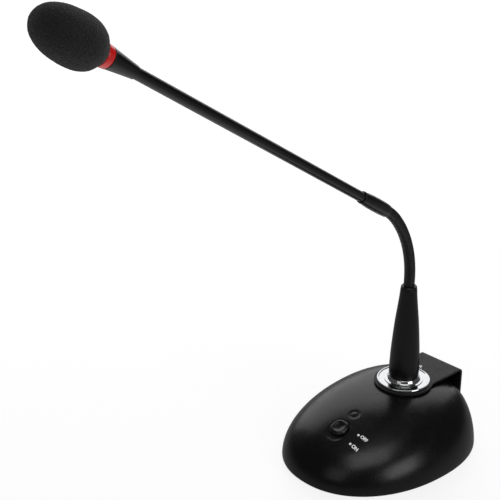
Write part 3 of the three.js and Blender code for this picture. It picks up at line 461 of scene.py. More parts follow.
SHELL = satin_plastic("shell_satin_black", (0.0035, 0.0035, 0.0036), 0.27)
KNOB = satin_plastic("knob_satin_black", (0.008, 0.008, 0.0082), 0.28, 0.008)
DOOR = satin_plastic("door_black_plastic", (0.026, 0.026, 0.027), 0.5, 0.03)
LENS = satin_plastic("lens_smoked", (0.004, 0.003, 0.003), 0.2, 0.002)
BRACKET = powder_coat("bracket_black_coat", (0.02, 0.02, 0.0203), 0.55)
NECK = powder_coat("neck_matte_black", (0.0035, 0.0035, 0.0036), 0.27, 0.01)
PLATE = powder_coat("plate_dark_coat", (0.05, 0.05, 0.052), 0.55)
CHROME = polished_metal("chrome_polished", (0.78, 0.79, 0.8), 0.06)
ZINC = worked_metal("zinc_plated_steel", (0.55, 0.56, 0.57), 0.3)
NICKEL = worked_metal("nickel_contact", (0.62, 0.6, 0.52), 0.28)
ALUMINIUM = worked_metal("capsule_satin_metal", (0.6, 0.61, 0.62), 0.35)
IRON = worked_metal("ballast_cast_iron", (0.09, 0.088, 0.085), 0.7, 0.12)
CELL = worked_metal("cell_jacket", (0.42, 0.33, 0.1), 0.3, 0.004)
RUBBER = moulded("pad_black_rubber", (0.02, 0.02, 0.02), 0.85, 0.12, 0.05)
BOARD = moulded("board_green_laminate", (0.03, 0.11, 0.06), 0.35, 0.15, 0.02)
CHIP = moulded("chip_black_package", (0.02, 0.02, 0.02), 0.5)
LEAD = moulded("lead_black_jacket", (0.02, 0.02, 0.02), 0.5)
LED = moulded("led_red_epoxy", (0.5, 0.02, 0.02), 0.15, 0.05, 0.002).value("Coat Weight", 0.6)
RING = moulded("ring_red_translucent", (0.85, 0.01, 0.012), 0.16, 0.06, 0.003).value("Coat Weight", 0.5)
RING.glow(0.12, (0.9, 0.01, 0.01, 1))
# The white print also glows a little: painted light that makes the ink brighter than the lamps alone make it.
PRINT = moulded("print_white_ink_with_painted_glow", (0.93, 0.93, 0.92), 0.45, 0.04, 0.004).glow(0.25)
FOAM = open_foam("foam_black_open_cell", (0.0095, 0.0095, 0.0098))


def place_piece(piece, finish, body, slot, *replaced):
    """Gives a piece its material and its body, and hides the CAD nodes that it stands for. The slot argument
    is not used.
    """
    piece.data.materials.clear()
    piece.data.materials.append(finish.material)
    if body:
        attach(piece, body)
    if replaced:
        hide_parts(*replaced)


# ---- Camera, light and floor ----

CAMERA_AZIMUTH = 47.7
CAMERA_PLACE = (0.4584, -0.5728, 0.4544)
CAMERA_TARGET = (0, -0.1558, 0.1934)
CAMERA_LENS = 79.2


def make_camera():
    camera = add_object("camera", bpy.data.cameras.new("camera"))
    camera.data.lens = CAMERA_LENS
    camera.data.sensor_width = 36
    camera.location = CAMERA_PLACE
    camera.rotation_euler = (Vector(CAMERA_TARGET) - camera.location).to_track_quat("-Z", "Y").to_euler()
    bpy.context.scene.camera = camera


def softbox(name, azimuth, elevation, radiance, spread, distance=4.5, target=(0, -0.05, 0.06)):
    """A large area light that fills an angle. Azimuth is counted from the camera's side, to the right."""
    light = bpy.data.lights.new(name, "AREA")
    light.shape = "RECTANGLE"
    light.size, light.size_y = (2 * distance * math.tan(math.radians(angle / 2)) for angle in spread)
    light.energy = radiance * math.pi * light.size * light.size_y
    lamp = add_object(name, light)
    turn = math.radians(CAMERA_AZIMUTH + azimuth)
    rise = math.radians(elevation)
    direction = Vector((math.sin(turn) * math.cos(rise), -math.cos(turn) * math.cos(rise), math.sin(rise)))
    lamp.location = Vector(target) + direction * distance
    lamp.rotation_euler = (-direction).to_track_quat("-Z", "Y").to_euler()
    lamp.visible_camera = False


# Brightness of the surroundings by direction, from straight down (-1) to straight up (1).
SURROUNDINGS = ((-0.95, 0.8), (-0.5, 0.24), (-0.15, 0.22), (0.05, 0.06), (0.85, 0.06), (1, 0.2))


def make_world():
    """Dim surroundings: dark above the horizon, lighter below it, and brightest straight below."""
    world = bpy.data.worlds.new("studio")
    world.use_nodes = True
    tree = world.node_tree
    split = tree.nodes.new("ShaderNodeSeparateXYZ")
    height = tree.nodes.new("ShaderNodeMapRange")
    ramp = tree.nodes.new("ShaderNodeValToRGB")
    place = tree.nodes.new("ShaderNodeTexCoord")
    link = tree.links.new
    link(place.outputs["Generated"], split.inputs[0])
    link(split.outputs["Z"], height.inputs["Value"])
    height.inputs["From Min"].default_value = -1
    height.inputs["From Max"].default_value = 1
    link(height.outputs["Result"], ramp.inputs["Fac"])
    while len(ramp.color_ramp.elements) < len(SURROUNDINGS):
        ramp.color_ramp.elements.new(0.5)
    for stop, (rise, light) in zip(ramp.color_ramp.elements, SURROUNDINGS):
        stop.position = (rise + 1) / 2
        stop.color = (light, light, light, 1)
    link(ramp.outputs["Color"], tree.nodes["Background"].inputs["Color"])
    bpy.context.scene.world = world


def camera_only(piece):
    """A floor or backdrop that the camera sees, and that casts no light on the object."""
    piece.visible_diffuse = False
    piece.visible_glossy = False
    piece.visible_transmission = False


def make_studio():
    make_world()
    bpy.context.scene.view_settings.view_transform = "Standard"
    softbox("back_panel", 180, 25, 1.05, (72, 46))
    softbox("right_panel", 45, 22, 2.2, (28, 26))
    softbox("overhead_panel", 8, 66, 1.5, (38, 28))
    softbox("left_panel", -38, 32, 0.45, (26, 30))
    size = 9000
    corners = [(-size, -size, 0), (size, -size, 0), (size, size, 0), (-size, size, 0)]
    floor = new_object("floor", corners, [(0, 1, 2, 3)])
    paper = Finish("floor_pale_paper", (0.35, 0.35, 0.35), 0.9)
    paper.mottle(paper.cloud(220), 0.01)
    paper.glow(0.8)
    floor.data.materials.append(paper.material)
    camera_only(floor)
    bpy.ops.mesh.primitive_uv_sphere_add(segments=48, ring_count=24, radius=size * MM)
    backdrop = bpy.context.object
    backdrop.name = "backdrop"
    sky = Finish("backdrop_pale", (0.0, 0.0, 0.0), 1.0)
    sky.glow(0.88)
    backdrop.data.materials.append(sky.material)
    backdrop.visible_shadow = False
    camera_only(backdrop)


# ---- The dome's shape ----


def dome_level(height, inset=0.0):
    """Half width, half length and middle of the dome's outline at a height."""
    rise = np.clip(height / (DOME_HEIGHT - inset), 0, 1)
    shrink = (1 - rise**DOME_SIDE_POWER) ** (1 / DOME_TOP_POWER)
    base_middle = (DOME_REAR - DOME_FRONT) / 2
    middle = base_middle + (DOME_TOP_Y - base_middle) * rise**DOME_LEAN_POWER
    return (DOME_WIDTH / 2 - inset) * shrink, ((DOME_FRONT + DOME_REAR) / 2 - inset) * shrink, middle


def dome_ring(height, angles, inset=0.0):
    """The dome's outline at a height, as an array of points."""
    half_width, half_length, middle = dome_level(height, inset)
    across = np.sign(np.cos(angles)) * np.abs(np.cos(angles)) ** (2 / DOME_SQUARENESS)
    along = np.sign(np.sin(angles)) * np.abs(np.sin(angles)) ** (2 / DOME_SQUARENESS)
    x = half_width * across * (1 + DOME_WIDENING * along)
    y = half_length * along + middle
    return np.column_stack([x, y, np.full(len(angles), float(height))])


def dome_height(x, y):
    """The dome's height over a point."""
    bottom, top = 0.0, DOME_HEIGHT - 1e-6
    for _ in range(40):
        z = (bottom + top) / 2
        half_width, half_length, middle = dome_level(z)
        along = (y - middle) / half_length
        across = x / (half_width * (1 + DOME_WIDENING * max(-1, min(1, along))))
        if abs(across) ** DOME_SQUARENESS + abs(along) ** DOME_SQUARENESS < 1:
            bottom = z
        else:
            top = z
    return bottom


def slope_frame(y):
    """A frame on the dome beside its middle line: local Z stands out of it, local Y points up the slope."""
    drop = dome_height(0, y + SLOPE_REACH) - dome_height(0, y - SLOPE_REACH)
    slope = math.atan2(drop, 2 * SLOPE_REACH)
    return Matrix.Translation((CONTROLS_X, y, dome_height(0, y))) @ Matrix.Rotation(slope, 4, "X")


SWITCH = slope_frame(SWITCH_Y)
INDICATOR = slope_frame(INDICATOR_Y)


def smooth_step(value, width):
    """0 below -width, 1 above 0, with a smooth rise between."""
    share = np.clip(value / width + 1, 0, 1)
    return share * share * (3 - 2 * share)


def local_points(points, place):
    """Points of an array in a frame's own space."""
    turn = np.array(place.inverted())
    return points @ turn[:3, :3].T + turn[:3, 3]


def sink(points, place, depth):
    """Moves points of the front slope inwards, along the frame's normal."""
    front = (points[:, 1] < PRESSED_FRONT) & (points[:, 2] > PRESSED_BOTTOM)
    normal = np.array(place.to_3x3() @ Vector((0, 0, 1)))
    return points - np.outer(depth * front, normal)


def sink_dish(points):
    """Presses the switch's dish and the round recess above it into the dome."""
    at = local_points(points, SWITCH)
    x = np.abs(at[:, 0]) - (DISH_HALF[0] - DISH_CORNER)
    y = np.abs(at[:, 1] + DISH_SHIFT) - (DISH_HALF[1] - DISH_CORNER)
    outside = np.hypot(np.maximum(x, 0), np.maximum(y, 0)) + np.minimum(np.maximum(x, y), 0) - DISH_CORNER
    dish = DISH_DEPTH * (1 - smooth_step(outside, DISH_EDGE))
    at = local_points(points, INDICATOR)
    outside = np.hypot(at[:, 0], at[:, 1]) - RECESS_RADIUS
    recess = RECESS_DEPTH * (1 - smooth_step(outside, DISH_EDGE))
    return sink(points, SWITCH, np.maximum(dish, recess))


def make_shell():
    """The casing: closer points round the switch, a flat seat on top and a wall inside."""
    fine = np.linspace(-FINE_WIDTH, FINE_WIDTH, 79)
    front = -np.arccos(np.sign(fine) * np.abs(fine) ** (DOME_SQUARENESS / 2))
    coarse = np.linspace(front[-1], front[0] + 2 * math.pi, 170)[1:-1]
    angles = np.concatenate([front, coarse])
    stops = [math.asin(height / DOME_HEIGHT) for height in (SHELL_BOTTOM, *FINE_LEVELS, SEAT_HEIGHT)]
    levels = np.concatenate([
        DOME_HEIGHT * np.sin(np.linspace(stops[0], stops[1], 30)),
        np.linspace(*FINE_LEVELS, 100)[1:],
        DOME_HEIGHT * np.sin(np.linspace(stops[2], stops[3], 14))[1:],
    ])
    rings = [sink_dish(dome_ring(height, angles)) for height in levels]
    seat = rings[-1]
    spokes = np.arctan2(seat[:, 1], seat[:, 0])
    hole = BOLT_HOLE_RADIUS * np.column_stack([np.cos(spokes), np.sin(spokes), np.zeros(len(spokes))])
    hole[:, 2] = SEAT_HEIGHT
    rings += [seat + (hole - seat) * share for share in (0.25, 0.5, 0.75, 1)]
    under = DOME_HEIGHT - SHELL_WALL
    rings.append(hole - np.array([0, 0, SEAT_THICKNESS]))
    inner_levels = under * np.sin(np.linspace(math.asin(INNER_TOP), math.asin(SHELL_BOTTOM / under), 18))
    rings += [rear_block(dome_ring(height, angles, SHELL_WALL)) for height in inner_levels]
    return loft("shell_casing", rings, closed=True, crease=40)


# ---- Base ----


def rear_block(ring):
    """Thickens the wall behind the bracket's leg into a flat-faced block."""
    behind = (np.abs(ring[:, 0]) < BLOCK_HALF_WIDTH) & (ring[:, 2] < BLOCK_TOP)
    ring[behind, 1] = np.minimum(ring[behind, 1], BLOCK_FRONT)
    return ring


def socket_frame():
    """A frame on the output socket's axis: local Z runs out through the rear wall."""
    centre = (low("output_jack").z + high("output_jack").z) / 2
    return Matrix.Translation((0, 0, centre)) @ Matrix.Rotation(-math.pi / 2, 4, "X")


def add_shell():
    """The casing, open for the indicator, the switch, the socket and the bracket's leg and tongue."""
    shell = make_shell()
    leg_low, leg_high = low("rear_bracket"), high("rear_bracket")
    jack = socket_frame()
    tongue = BRACKET_TONGUE + 0.4
    slot_y = (leg_high.y - 1.9, leg_high.y + 0.35)
    switch_slot = rounded_rectangle_between(1.9, -6.6, 2.6)
    carve(
        shell,
        rod(INDICATOR_HOLE, -4, 4, INDICATOR, 40),
        loft("cutter", [[SWITCH @ Vector((x, y, z)) for x, y in switch_slot] for z in (-6, 2)]),
        rod(SOCKET_HOLE, 38, 60, jack, 40),
        rod(NUT_SEAT_RADIUS, NUT_SEAT_Y, 60, jack, 60),
        block((leg_low.x - 0.4, leg_high.x + 0.4), slot_y, (leg_low.z + 2.7, 60)),
        block((-tongue, tongue), slot_y, (leg_low.z - 0.3, leg_low.z + 3)),
    )
    place_piece(shell, SHELL, "base", "shell_plastic", "base_shell")


def rounded_rectangle_between(half, bottom, top):
    """A slot's outline between two heights of its own plane."""
    middle = (bottom + top) / 2
    outline = rounded_rectangle(half, (top - bottom) / 2, half * 0.7, 3, 5)
    return [(point.x, point.y + middle) for point in outline]


def add_knob():
    """A square thumb knob with round corners, a raised rim and a hollow for the thumb."""
    section = [
        (6.4, KNOB_BOTTOM), (6.6, KNOB_BOTTOM + 0.3), (6.6, 0.3), (6.4, 0.75), (6.0, 1.2), (5.5, 1.55),
        (5.05, 1.72), (4.7, KNOB_TOP), (4.35, 1.68), (3.9, 1.48), (3.3, 1.2), (2.5, 0.93), (1.6, 0.76),
        (0.8, 0.69), (0.3, 0.67),
    ]
    rings = []
    for half, height in section:
        corner = KNOB_CORNER * half / KNOB_HALF
        outline = rounded_rectangle(half, half, corner, 10, 12)
        rings.append([SWITCH @ Vector((point.x, point.y, height)) for point in outline])
    knob = loft("switch_thumb_knob", rings, crease=50)
    place_piece(knob, KNOB, "switch_slider", "knob_plastic", "switch_knob")


def add_indicator():
    lens = [(0, -2.4), (2.3, -2.4), (2.3, 0.0, 0.25), (1.6, 0.22, 1.2), (0, 0.3)]
    piece = lathe("indicator_window", lens, INDICATOR, 48)
    place_piece(piece, LENS, "base", "lens_smoke", "indicator_lens")


def print_on_dome(piece, x, y):
    """Moves a flat piece from the origin to a place on the dome's front slope, as white print."""
    piece.data.transform(Matrix.Translation((x * MM, y * MM, 0)))
    for vertex in piece.data.vertices:
        across, along, rise = vertex.co / MM
        vertex.co = Vector((across, along, dome_height(across, along) + LABEL_LIFT + rise)) * MM
    place_piece(piece, PRINT, "base", None)


def add_labels():
    """White printed words beside the switch, each with a dot."""
    half = LABEL_HALF_DEPTH
    dot = [(0, -half), (DOT_RADIUS, -half), (DOT_RADIUS, half, 0.02), (0, half)]
    for word, dot_place, text_place in LABELS:
        text = bpy.data.curves.new("label_" + word, "FONT")
        text.body = word
        text.size = LABEL_SIZE * MM
        text.offset = LABEL_WEIGHT * MM
        text.extrude = half * MM
        text.resolution_u = 6
        drawn = add_object("label", text)
        bpy.context.view_layer.update()
        mesh = bpy.data.meshes.new_from_object(drawn.evaluated_get(bpy.context.evaluated_depsgraph_get()))
        bpy.data.objects.remove(drawn)
        print_on_dome(add_object("label_" + word.lower(), mesh), *text_place)
        print_on_dome(lathe("label_dot_" + word.lower(), dot, sides=32), *dot_place)


def outline_rings(levels, points):
    """The base's outline on the table, moved inwards and raised by each level's two distances."""
    angles = np.linspace(0, 2 * math.pi, points, endpoint=False)
    rings = []
    for inset, height in levels:
        ring = dome_ring(0, angles, inset)
        ring[:, 2] = height
        rings.append(ring)
    return rings


def outline_slab(name, inset, bottom, top, edge):
    """A slab with the base's outline and chamfered edges."""
    levels = [(inset + edge, bottom), (inset, bottom + edge), (inset, top - edge), (inset + edge, top)]
    return loft(name, outline_rings(levels, 200), crease=50)


def screw_head(name, x, y, under, radius, height, shank, length):
    """A cross-head screw that points up from the underside."""
    turned = Matrix.Translation((x, y, under)) @ Matrix.Rotation(math.pi, 4, "X")
    corners = [
        (0, -length), (shank, -length + 1.2), (shank, 0), (radius, 0, 0.1), (radius, 0.35 * height, 0.5),
        (0.62 * radius, height, 0.6), (0, height),
    ]
    screw = lathe(name, corners, turned, 40)
    arm, reach, depth = 0.16 * radius, 0.62 * radius, 0.55 * height
    for half in ((reach, arm), (arm, reach)):
        rings = []
        for level, widening in ((height - depth, 0.7), (height + 1, 1)):
            x, y = half[0] * widening, half[1] * widening
            corners = [(-x, -y), (x, -y), (x, y), (-x, y)]
            rings.append([turned @ Vector((*corner, level)) for corner in corners])
        carve(screw, loft("cutter", rings))
    return screw


def add_underside():
    """The rubber pad, bottom plate, battery door and screws."""
    door_low, door_high = low("battery_door"), high("battery_door")
    opening = (door_low.x + DOOR_PIN - DOOR_GAP, door_high.x - DOOR_PIN + DOOR_GAP)
    hinge_y, hinge_z = (metres / MM for metres in joints["battery_door_hinge"]["pos_m"][1:])
    tray_y = (door_low.y + hinge_y) / 2
    screws = [f"base_screw_{number}" for number in range(1, 5)]
    places = [((low(node) + high(node)) / 2).xy for node in screws]

    pad = outline_slab("pad_ribbed", 6, low("non_slip_pad").z, high("non_slip_pad").z, 0.4)
    window_x = (-WINDOW_HALF_WIDTH, WINDOW_HALF_WIDTH)
    window = block(window_x, (door_low.y - 1.4, hinge_y + 2.8), (-1, 4))
    grooves = [ring_groove(inset) for inset in (9.5, 12, 14.5)]
    holes = [rod(3.6, -1, 4, Matrix.Translation((x, y, 0))) for x, y in places]
    carve(pad, window, *grooves, *holes)
    place_piece(pad, RUBBER, "base", "pad_rubber", "non_slip_pad")

    plate = outline_slab("plate_steel_pressed", 4, low("bottom_plate").z, high("bottom_plate").z, 0.25)
    carve(
        plate,
        block(opening, (door_low.y - DOOR_GAP, hinge_y + 1.5), (0, 6)),
        block((opening[0] - 2.6, opening[1] + 2.6), (hinge_y - 1.8, hinge_y + 1.8), (0, 6)),
        *[rod(1.8, 0, 6, Matrix.Translation((x, y, 0)), 32) for x, y in places],
        *[rod(1.5, 0, 6, Matrix.Translation((x, tray_y, 0)), 24) for x in (-TRAY_SCREW_X, TRAY_SCREW_X)],
    )
    place_piece(plate, PLATE, "base", "plate_steel", "bottom_plate")

    for node, (x, y) in zip(screws, places):
        under = low("bottom_plate").z - 0.3
        screw = screw_head(node + "_cross_head", x, y, under, radius=2.6, height=1.3, shank=1.4, length=9.9)
        place_piece(screw, ZINC, "base", None, node)

    add_door(door_low, door_high, hinge_y, hinge_z)


def ring_groove(inset, width=1.1, depth=0.7):
    """A cutter for a groove that follows the base's outline in the pad."""
    levels = [(inset, -1), (inset + width, -1), (inset + width, depth), (inset, depth)]
    return loft("cutter", outline_rings(levels, 160), closed=True)


def add_door(door_low, door_high, hinge_y, hinge_z):
    """The battery door: a panel with finger ribs, its hinge barrel, pins and hook."""
    half = door_high.x - DOOR_PIN
    panel_low, panel_high = low("bottom_plate").z, high("bottom_plate").z
    middle = (door_low.y + hinge_y) / 2
    half_y = (hinge_y - door_low.y) / 2
    rings = []
    for height, shrink in ((panel_low, 0.3), (panel_low + 0.3, 0), (panel_high - 0.2, 0), (panel_high, 0.2)):
        outline = rounded_rectangle(half - shrink, half_y - shrink, 1.2 - shrink, 20, 5)
        rings.append([(point.x, point.y + middle, height) for point in outline])
    door = loft("battery_door_panel", rings, crease=40)
    grip = door_low.y + 3
    carve(door, *[rib_groove(grip + 1.7 * row, panel_low) for row in range(5)])
    sideways = Matrix.Translation((0, hinge_y, hinge_z)) @ Matrix.Rotation(math.pi / 2, 4, "Y")
    parts = [
        rod(1.1, -half, half, sideways, 24),
        rod(0.6, -half - DOOR_PIN, half + DOOR_PIN, sideways, 20),
        block((-4, 4), (door_low.y + 0.3, door_low.y + 1.2), (panel_high - 0.5, door_high.z)),
    ]
    combine(door, "UNION", parts, 40)
    place_piece(door, DOOR, "battery_lid", "door_plastic", "battery_door")


def rib_groove(y, bottom):
    """A cutter for one finger groove across the door."""
    outline = rounded_rectangle(9, 0.45, 0.4, 3, 4)
    levels = (bottom - 1, bottom + 0.5)
    return loft("cutter", [[(point.x, point.y + y, height) for point in outline] for height in levels])


def add_socket():
    """The output socket in the rear wall with its knurled nut."""
    back = socket_frame()
    end = high("output_jack").y
    corners = [
        (1.8, 34.6), (1.8, end - 0.5, 0.2), (2.2, end, 0.15), (3, end, 0.3), (3, 43.4), (4, 43.4, 0.2),
        (4, 31), (1.8, 31),
    ]
    jack = lathe("output_jack_turned", corners, back, 64, closed=True)
    place_piece(jack, ZINC, "base", None, "output_jack")
    nut_low, nut_high = low("jack_nut").y, high("jack_nut").y
    section = [
        (3.3, nut_low), (4.35, nut_low), (4.6, nut_low + 0.3), (4.6, nut_high - 0.3), (4.3, nut_high),
        (3.3, nut_high),
    ]
    sides = 120
    rings = []
    for radius, height in section:
        ring = []
        for step in range(sides):
            knurl = 0.14 if radius > 4 and step % 4 in (2, 3) else 0
            reach = radius - knurl
            angle = 2 * math.pi * step / sides
            ring.append(back @ Vector((reach * math.cos(angle), reach * math.sin(angle), height)))
        rings.append(ring)
    place_piece(loft("jack_nut_knurled", rings, closed=True), ZINC, "base", None, "jack_nut")


# ---- Neck hardware ----


def bracket_rows():
    """The bracket's middle surface as rows: half width, Y, Z, and how far its normal leans back."""
    top = high("rear_bracket").z
    middle = top - BRACKET_THICKNESS / 2
    rear = high("rear_bracket").y
    bend_y, bend_z = rear - BRACKET_BEND, top - BRACKET_BEND
    fillet_x = BRACKET_TAB + BRACKET_FILLET
    fillet_y = math.sqrt((BRACKET_DISC + BRACKET_FILLET) ** 2 - fillet_x**2)
    meet = math.atan2(fillet_y, fillet_x)
    rows = []
    for angle in np.linspace(-math.pi / 2 + 0.04, meet, 60):
        rows.append((BRACKET_DISC * math.cos(angle), BRACKET_DISC * math.sin(angle), middle, 0))
    for angle in np.linspace(meet, 0, 8)[1:]:
        half = fillet_x - BRACKET_FILLET * math.cos(angle)
        rows.append((half, fillet_y - BRACKET_FILLET * math.sin(angle), middle, 0))
    for y in np.linspace(fillet_y, bend_y, 12)[1:]:
        rows.append((BRACKET_TAB, y, middle, 0))
    bend = BRACKET_BEND - BRACKET_THICKNESS / 2
    for lean in np.linspace(0, math.pi / 2, 12)[1:]:
        rows.append((BRACKET_TAB, bend_y + bend * math.sin(lean), bend_z + bend * math.cos(lean), lean))
    leg_y, tongue_end = bend_y + bend, low("rear_bracket").z
    leg_end = tongue_end + 3
    corner = 1.6
    for z in np.linspace(bend_z, leg_end + corner, 10)[1:]:
        rows.append((BRACKET_TAB, leg_y, z, math.pi / 2))
    for angle in np.linspace(0, math.pi / 2, 6)[1:]:
        half = BRACKET_TAB - corner * (1 - math.cos(angle))
        rows.append((half, leg_y, leg_end + corner - corner * math.sin(angle), math.pi / 2))
    rows.append((BRACKET_TONGUE, leg_y, leg_end - 0.05, math.pi / 2))
    rows.append((BRACKET_TONGUE, leg_y, tongue_end, math.pi / 2))
    return rows


def add_bracket():
    """The bent plate that holds the neck: a disc, a tab, and a leg down behind the base."""
    columns = np.linspace(-1, 1, 25)
    rings = []
    for half, y, z, lean in bracket_rows():
        out_y = BRACKET_THICKNESS / 2 * math.sin(lean)
        out_z = BRACKET_THICKNESS / 2 * math.cos(lean)
        upper = [(half * across, y + out_y, z + out_z) for across in columns]
        lower = [(half * across, y - out_y, z - out_z) for across in columns[::-1]]
        rings.append(upper + lower)
    bracket = loft("bracket_bent_plate", rings)
    carve(bracket, rod(HARDWARE_BORE, 30, 50), rod(1.5, 30, 50, Matrix.Translation(screw_place()), 32))
    edge = bracket.modifiers.new("edge", "BEVEL")
    edge.width = 0.22 * MM
    edge.segments = 3
    edge.limit_method = "ANGLE"
    edge.angle_limit = math.radians(50)
    bake(bracket, 40)
    place_piece(bracket, BRACKET, "base", "bracket_paint", "rear_bracket")


def screw_place():
    middle = (low("bracket_screw") + high("bracket_screw")) / 2
    return Vector((middle.x, middle.y, 0))


def add_flange():
    """The chrome flange, a shallow dish with a raised rim."""
    bottom, top, radius = low("neck_flange").z, high("neck_flange").z, high("neck_flange").x
    flange = lathe(
        "flange_chrome_dish",
        [
            (HARDWARE_BORE, bottom), (radius - 0.2, bottom, 0.2), (radius, bottom + 0.7, 0.4),
            (radius - 0.35, top, 0.4), (radius - 1.25, top, 0.35), (radius - 1.9, top - 0.52, 0.5),
            (14.6, top - 0.5, 0.5), (HARDWARE_BORE, top - 0.5),
        ],
        sides=160, closed=True, steps=6,
    )
    place_piece(flange, CHROME, "base", "chrome_plate", "neck_flange")


def add_hub():
    """The chrome hub under the stem, with a hollow flank."""
    bottom, top = low("neck_hub").z, high("neck_hub").z
    hub = lathe(
        "hub_chrome_ring",
        [
            (HARDWARE_BORE, bottom), (14.6, bottom, 0.05), (14.4, bottom + 0.15, 0.1),
            (12.3, bottom + 0.45, 1.9), (11.15, top - 0.3, 0.5), (10.9, top, 0.1), (HARDWARE_BORE, top),
        ],
        sides=128, closed=True, steps=6,
    )
    place_piece(hub, CHROME, "base", "chrome_plate", "neck_hub")


def add_stem():
    """The tapered stem, with a socket in its top for the flexible neck."""
    stem_low = low("neck_stem").z
    shape = [
        (10.6, 0, 0), (11, 0.2, 0.2), (11.2, 0.9, 0.4), (11.2, 8.4, 60), (10.8, 18.6, 60), (10.4, 25.3, 60),
        (9.65, 35.3, 60), (8.8, 45, 60), (7.65, 54.8, 60), (6.55, 64.6, 60), (6.1, 70.7, 2), (5.9, 71.3, 0.3),
        (5.8, 72.5, 0.25), (5.4, 73, 0.2),
    ]
    corners = [(HARDWARE_BORE, stem_low)]
    corners += [(radius, stem_low + height, fillet) for radius, height, fillet in shape]
    corners += [(4.2, STEM_TOP), (4.2, STEM_TOP - 12), (HARDWARE_BORE, STEM_TOP - 14)]
    stem = lathe("stem_tapered", corners, closed=True, sides=128, steps=6)
    place_piece(stem, NECK, "base", "neck_paint", "neck_stem")


def add_bracket_screw():
    """The small round-headed screw behind the stem, with a cross in its head."""
    under, head = high("rear_bracket").z + 0.3, high("bracket_screw").z
    corners = [
        (0, low("bracket_screw").z), (1.2, low("bracket_screw").z), (1.2, under), (2.2, under, 0.1),
        (2.2, under + 0.5, 0.4), (1.5, head, 0.7), (0, head),
    ]
    screw = lathe("bracket_screw_round_head", corners, Matrix.Translation(screw_place()), 40)
    slots = []
    for half in ((1.25, 0.28), (0.28, 1.25)):
        slot = block((-half[0], half[0]), (-half[1], half[1]), (head - 0.6, head + 1))
        slot.data.transform(Matrix.Translation(screw_place() * MM) @ Matrix.Rotation(0.4, 4, "Z"))
        slots.append(slot)
    carve(screw, *slots)
    place_piece(screw, CHROME, "base", "chrome_plate", "bracket_screw")


# ---- Flexible neck ----


def ridge(distance, angle):
    """The neck's radius where its wound wire has round ridges with sharp grooves between them."""
    turn = (distance / RIDGE_PITCH + angle / (2 * math.pi)) % 1
    return NECK_RADIUS - RIDGE_DEPTH * (1 - math.sqrt(max(0, 1 - (2 * turn - 1) ** 2)))


def neck_skin(name, start, end, sides=40, per_ridge=7):
    """A stretch of the wound neck."""
    steps = math.ceil((end - start) / RIDGE_PITCH * per_ridge)
    rings = []
    for step in range(steps + 1):
        distance = start + (end - start) * step / steps
        place = neck_frame(distance)
        ring = []
        for side in range(sides):
            angle = 2 * math.pi * side / sides
            radius = ridge(distance, angle)
            ring.append(place @ Vector((radius * math.cos(angle), radius * math.sin(angle), 0)))
        rings.append(ring)
    return loft(name, rings, crease=75)


def add_neck():
    """The gooseneck in stretches. Each spans one pivot, from the middle of one link to the next's."""
    hinges = [joint for joint in frame["joints"] if joint["name"].startswith("neck_")]
    count = len(hinges)
    spacing = (NECK_LENGTH - 2 * NECK_END) / (count - 1)
    pivots = [NECK_END + number * spacing for number in range(count)]
    for number, joint in enumerate(hinges):
        start = pivots[number] - spacing / 2 if number else -SKIN_LAP
        end = pivots[number] + spacing / 2 if number < count - 1 else NECK_LENGTH + SKIN_LAP
        bend_start = max(pivots[number] - spacing / 2, 0.2)
        bend_end = min(pivots[number] + spacing / 2, NECK_LENGTH - 0.2)
        skin = neck_skin(f"gooseneck_skin_{number + 1}", start, end)
        place_piece(skin, NECK, None, "neck_paint")
        ends = [neck_frame(distance).translation * MM for distance in (bend_start, bend_end)]
        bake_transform(skin)
        links = [number + 1, number + 2] if number == count - 1 else [number + 1]
        stands_for = [f"gooseneck_segment_{link}" for link in links]
        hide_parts(*stands_for)


# ---- Arm and head ----


def add_collar():
    """The barrel between the flexible neck and the arm, with a groove near its upper end."""
    start, end = along_arm("coupling_collar")
    length = 31.1
    shape = [
        (4.1, 0), (4.45, 0.15, 0.2), (4.6, 1.0, 0.5), (4.85, 6, 30), (4.95, 14, 40), (4.8, 22, 30),
        (4.35, 28.6, 6), (4.15, 29.3, 0.3), (4.15, 29.6, 0.2), (4.35, 30, 0.2), (4.3, 30.9, 0.3),
        (4.0, length),
    ]
    scale = (end - start) / length
    corners = [(radius, start + height * scale, *fillet) for radius, height, *fillet in shape]
    corners += [(3.6, end), (3.6, start)]
    collar = lathe("collar_barrel", corners, ARM, 96, closed=True, steps=6)
    place_piece(collar, NECK, "head_arm", "neck_paint", "coupling_collar")


def add_tube():
    """The slim rigid arm."""
    start, end = along_arm("rigid_tube")
    inner, outer = 2.7, 3.5
    corners = [(inner, start)] + [(outer, height) for height in np.linspace(start, end, 61)] + [(inner, end)]
    tube = lathe("arm_tube", corners, ARM, 64, closed=True)
    place_piece(tube, NECK, "head_arm", "neck_paint", "rigid_tube")


def add_ferrule():
    """The cone that widens from the arm to the red ring."""
    start, end = along_arm("head_ferrule")
    lip = end + RING_NEAR_SHIFT
    corners = [
        (3.6, start), (3.85, start, 0.1), (4.05, start + 0.35, 0.2), (4.05, start + 0.9, 0.4),
        (6.2, lip - 1.1, 0.5), (6.45, lip - 0.2, 0.2), (6.3, lip, 0.1), (5.95, lip), (5.95, end), (4.7, end),
        (4.7, end - 2), (3.6, end - 4),
    ]
    ferrule = lathe("ferrule_cone", corners, ARM, 96, closed=True, steps=6)
    place_piece(ferrule, NECK, "head_arm", "neck_paint", "head_ferrule")


def add_light_ring():
    """The red ring against the foam's mouth."""
    start, end = along_arm("light_ring")
    start, end = start + RING_NEAR_SHIFT, end + RING_FAR_SHIFT
    corners = [
        (6.05, start), (6.35, start, 0.1), (6.55, start + 0.3, 0.25), (6.95, end - 0.4, 0.3),
        (6.8, end, 0.15), (6.05, end),
    ]
    light = lathe("light_ring_lens", corners, ARM, 96, closed=True, steps=6)
    place_piece(light, RING, "head_arm", "ring_red", "light_ring")


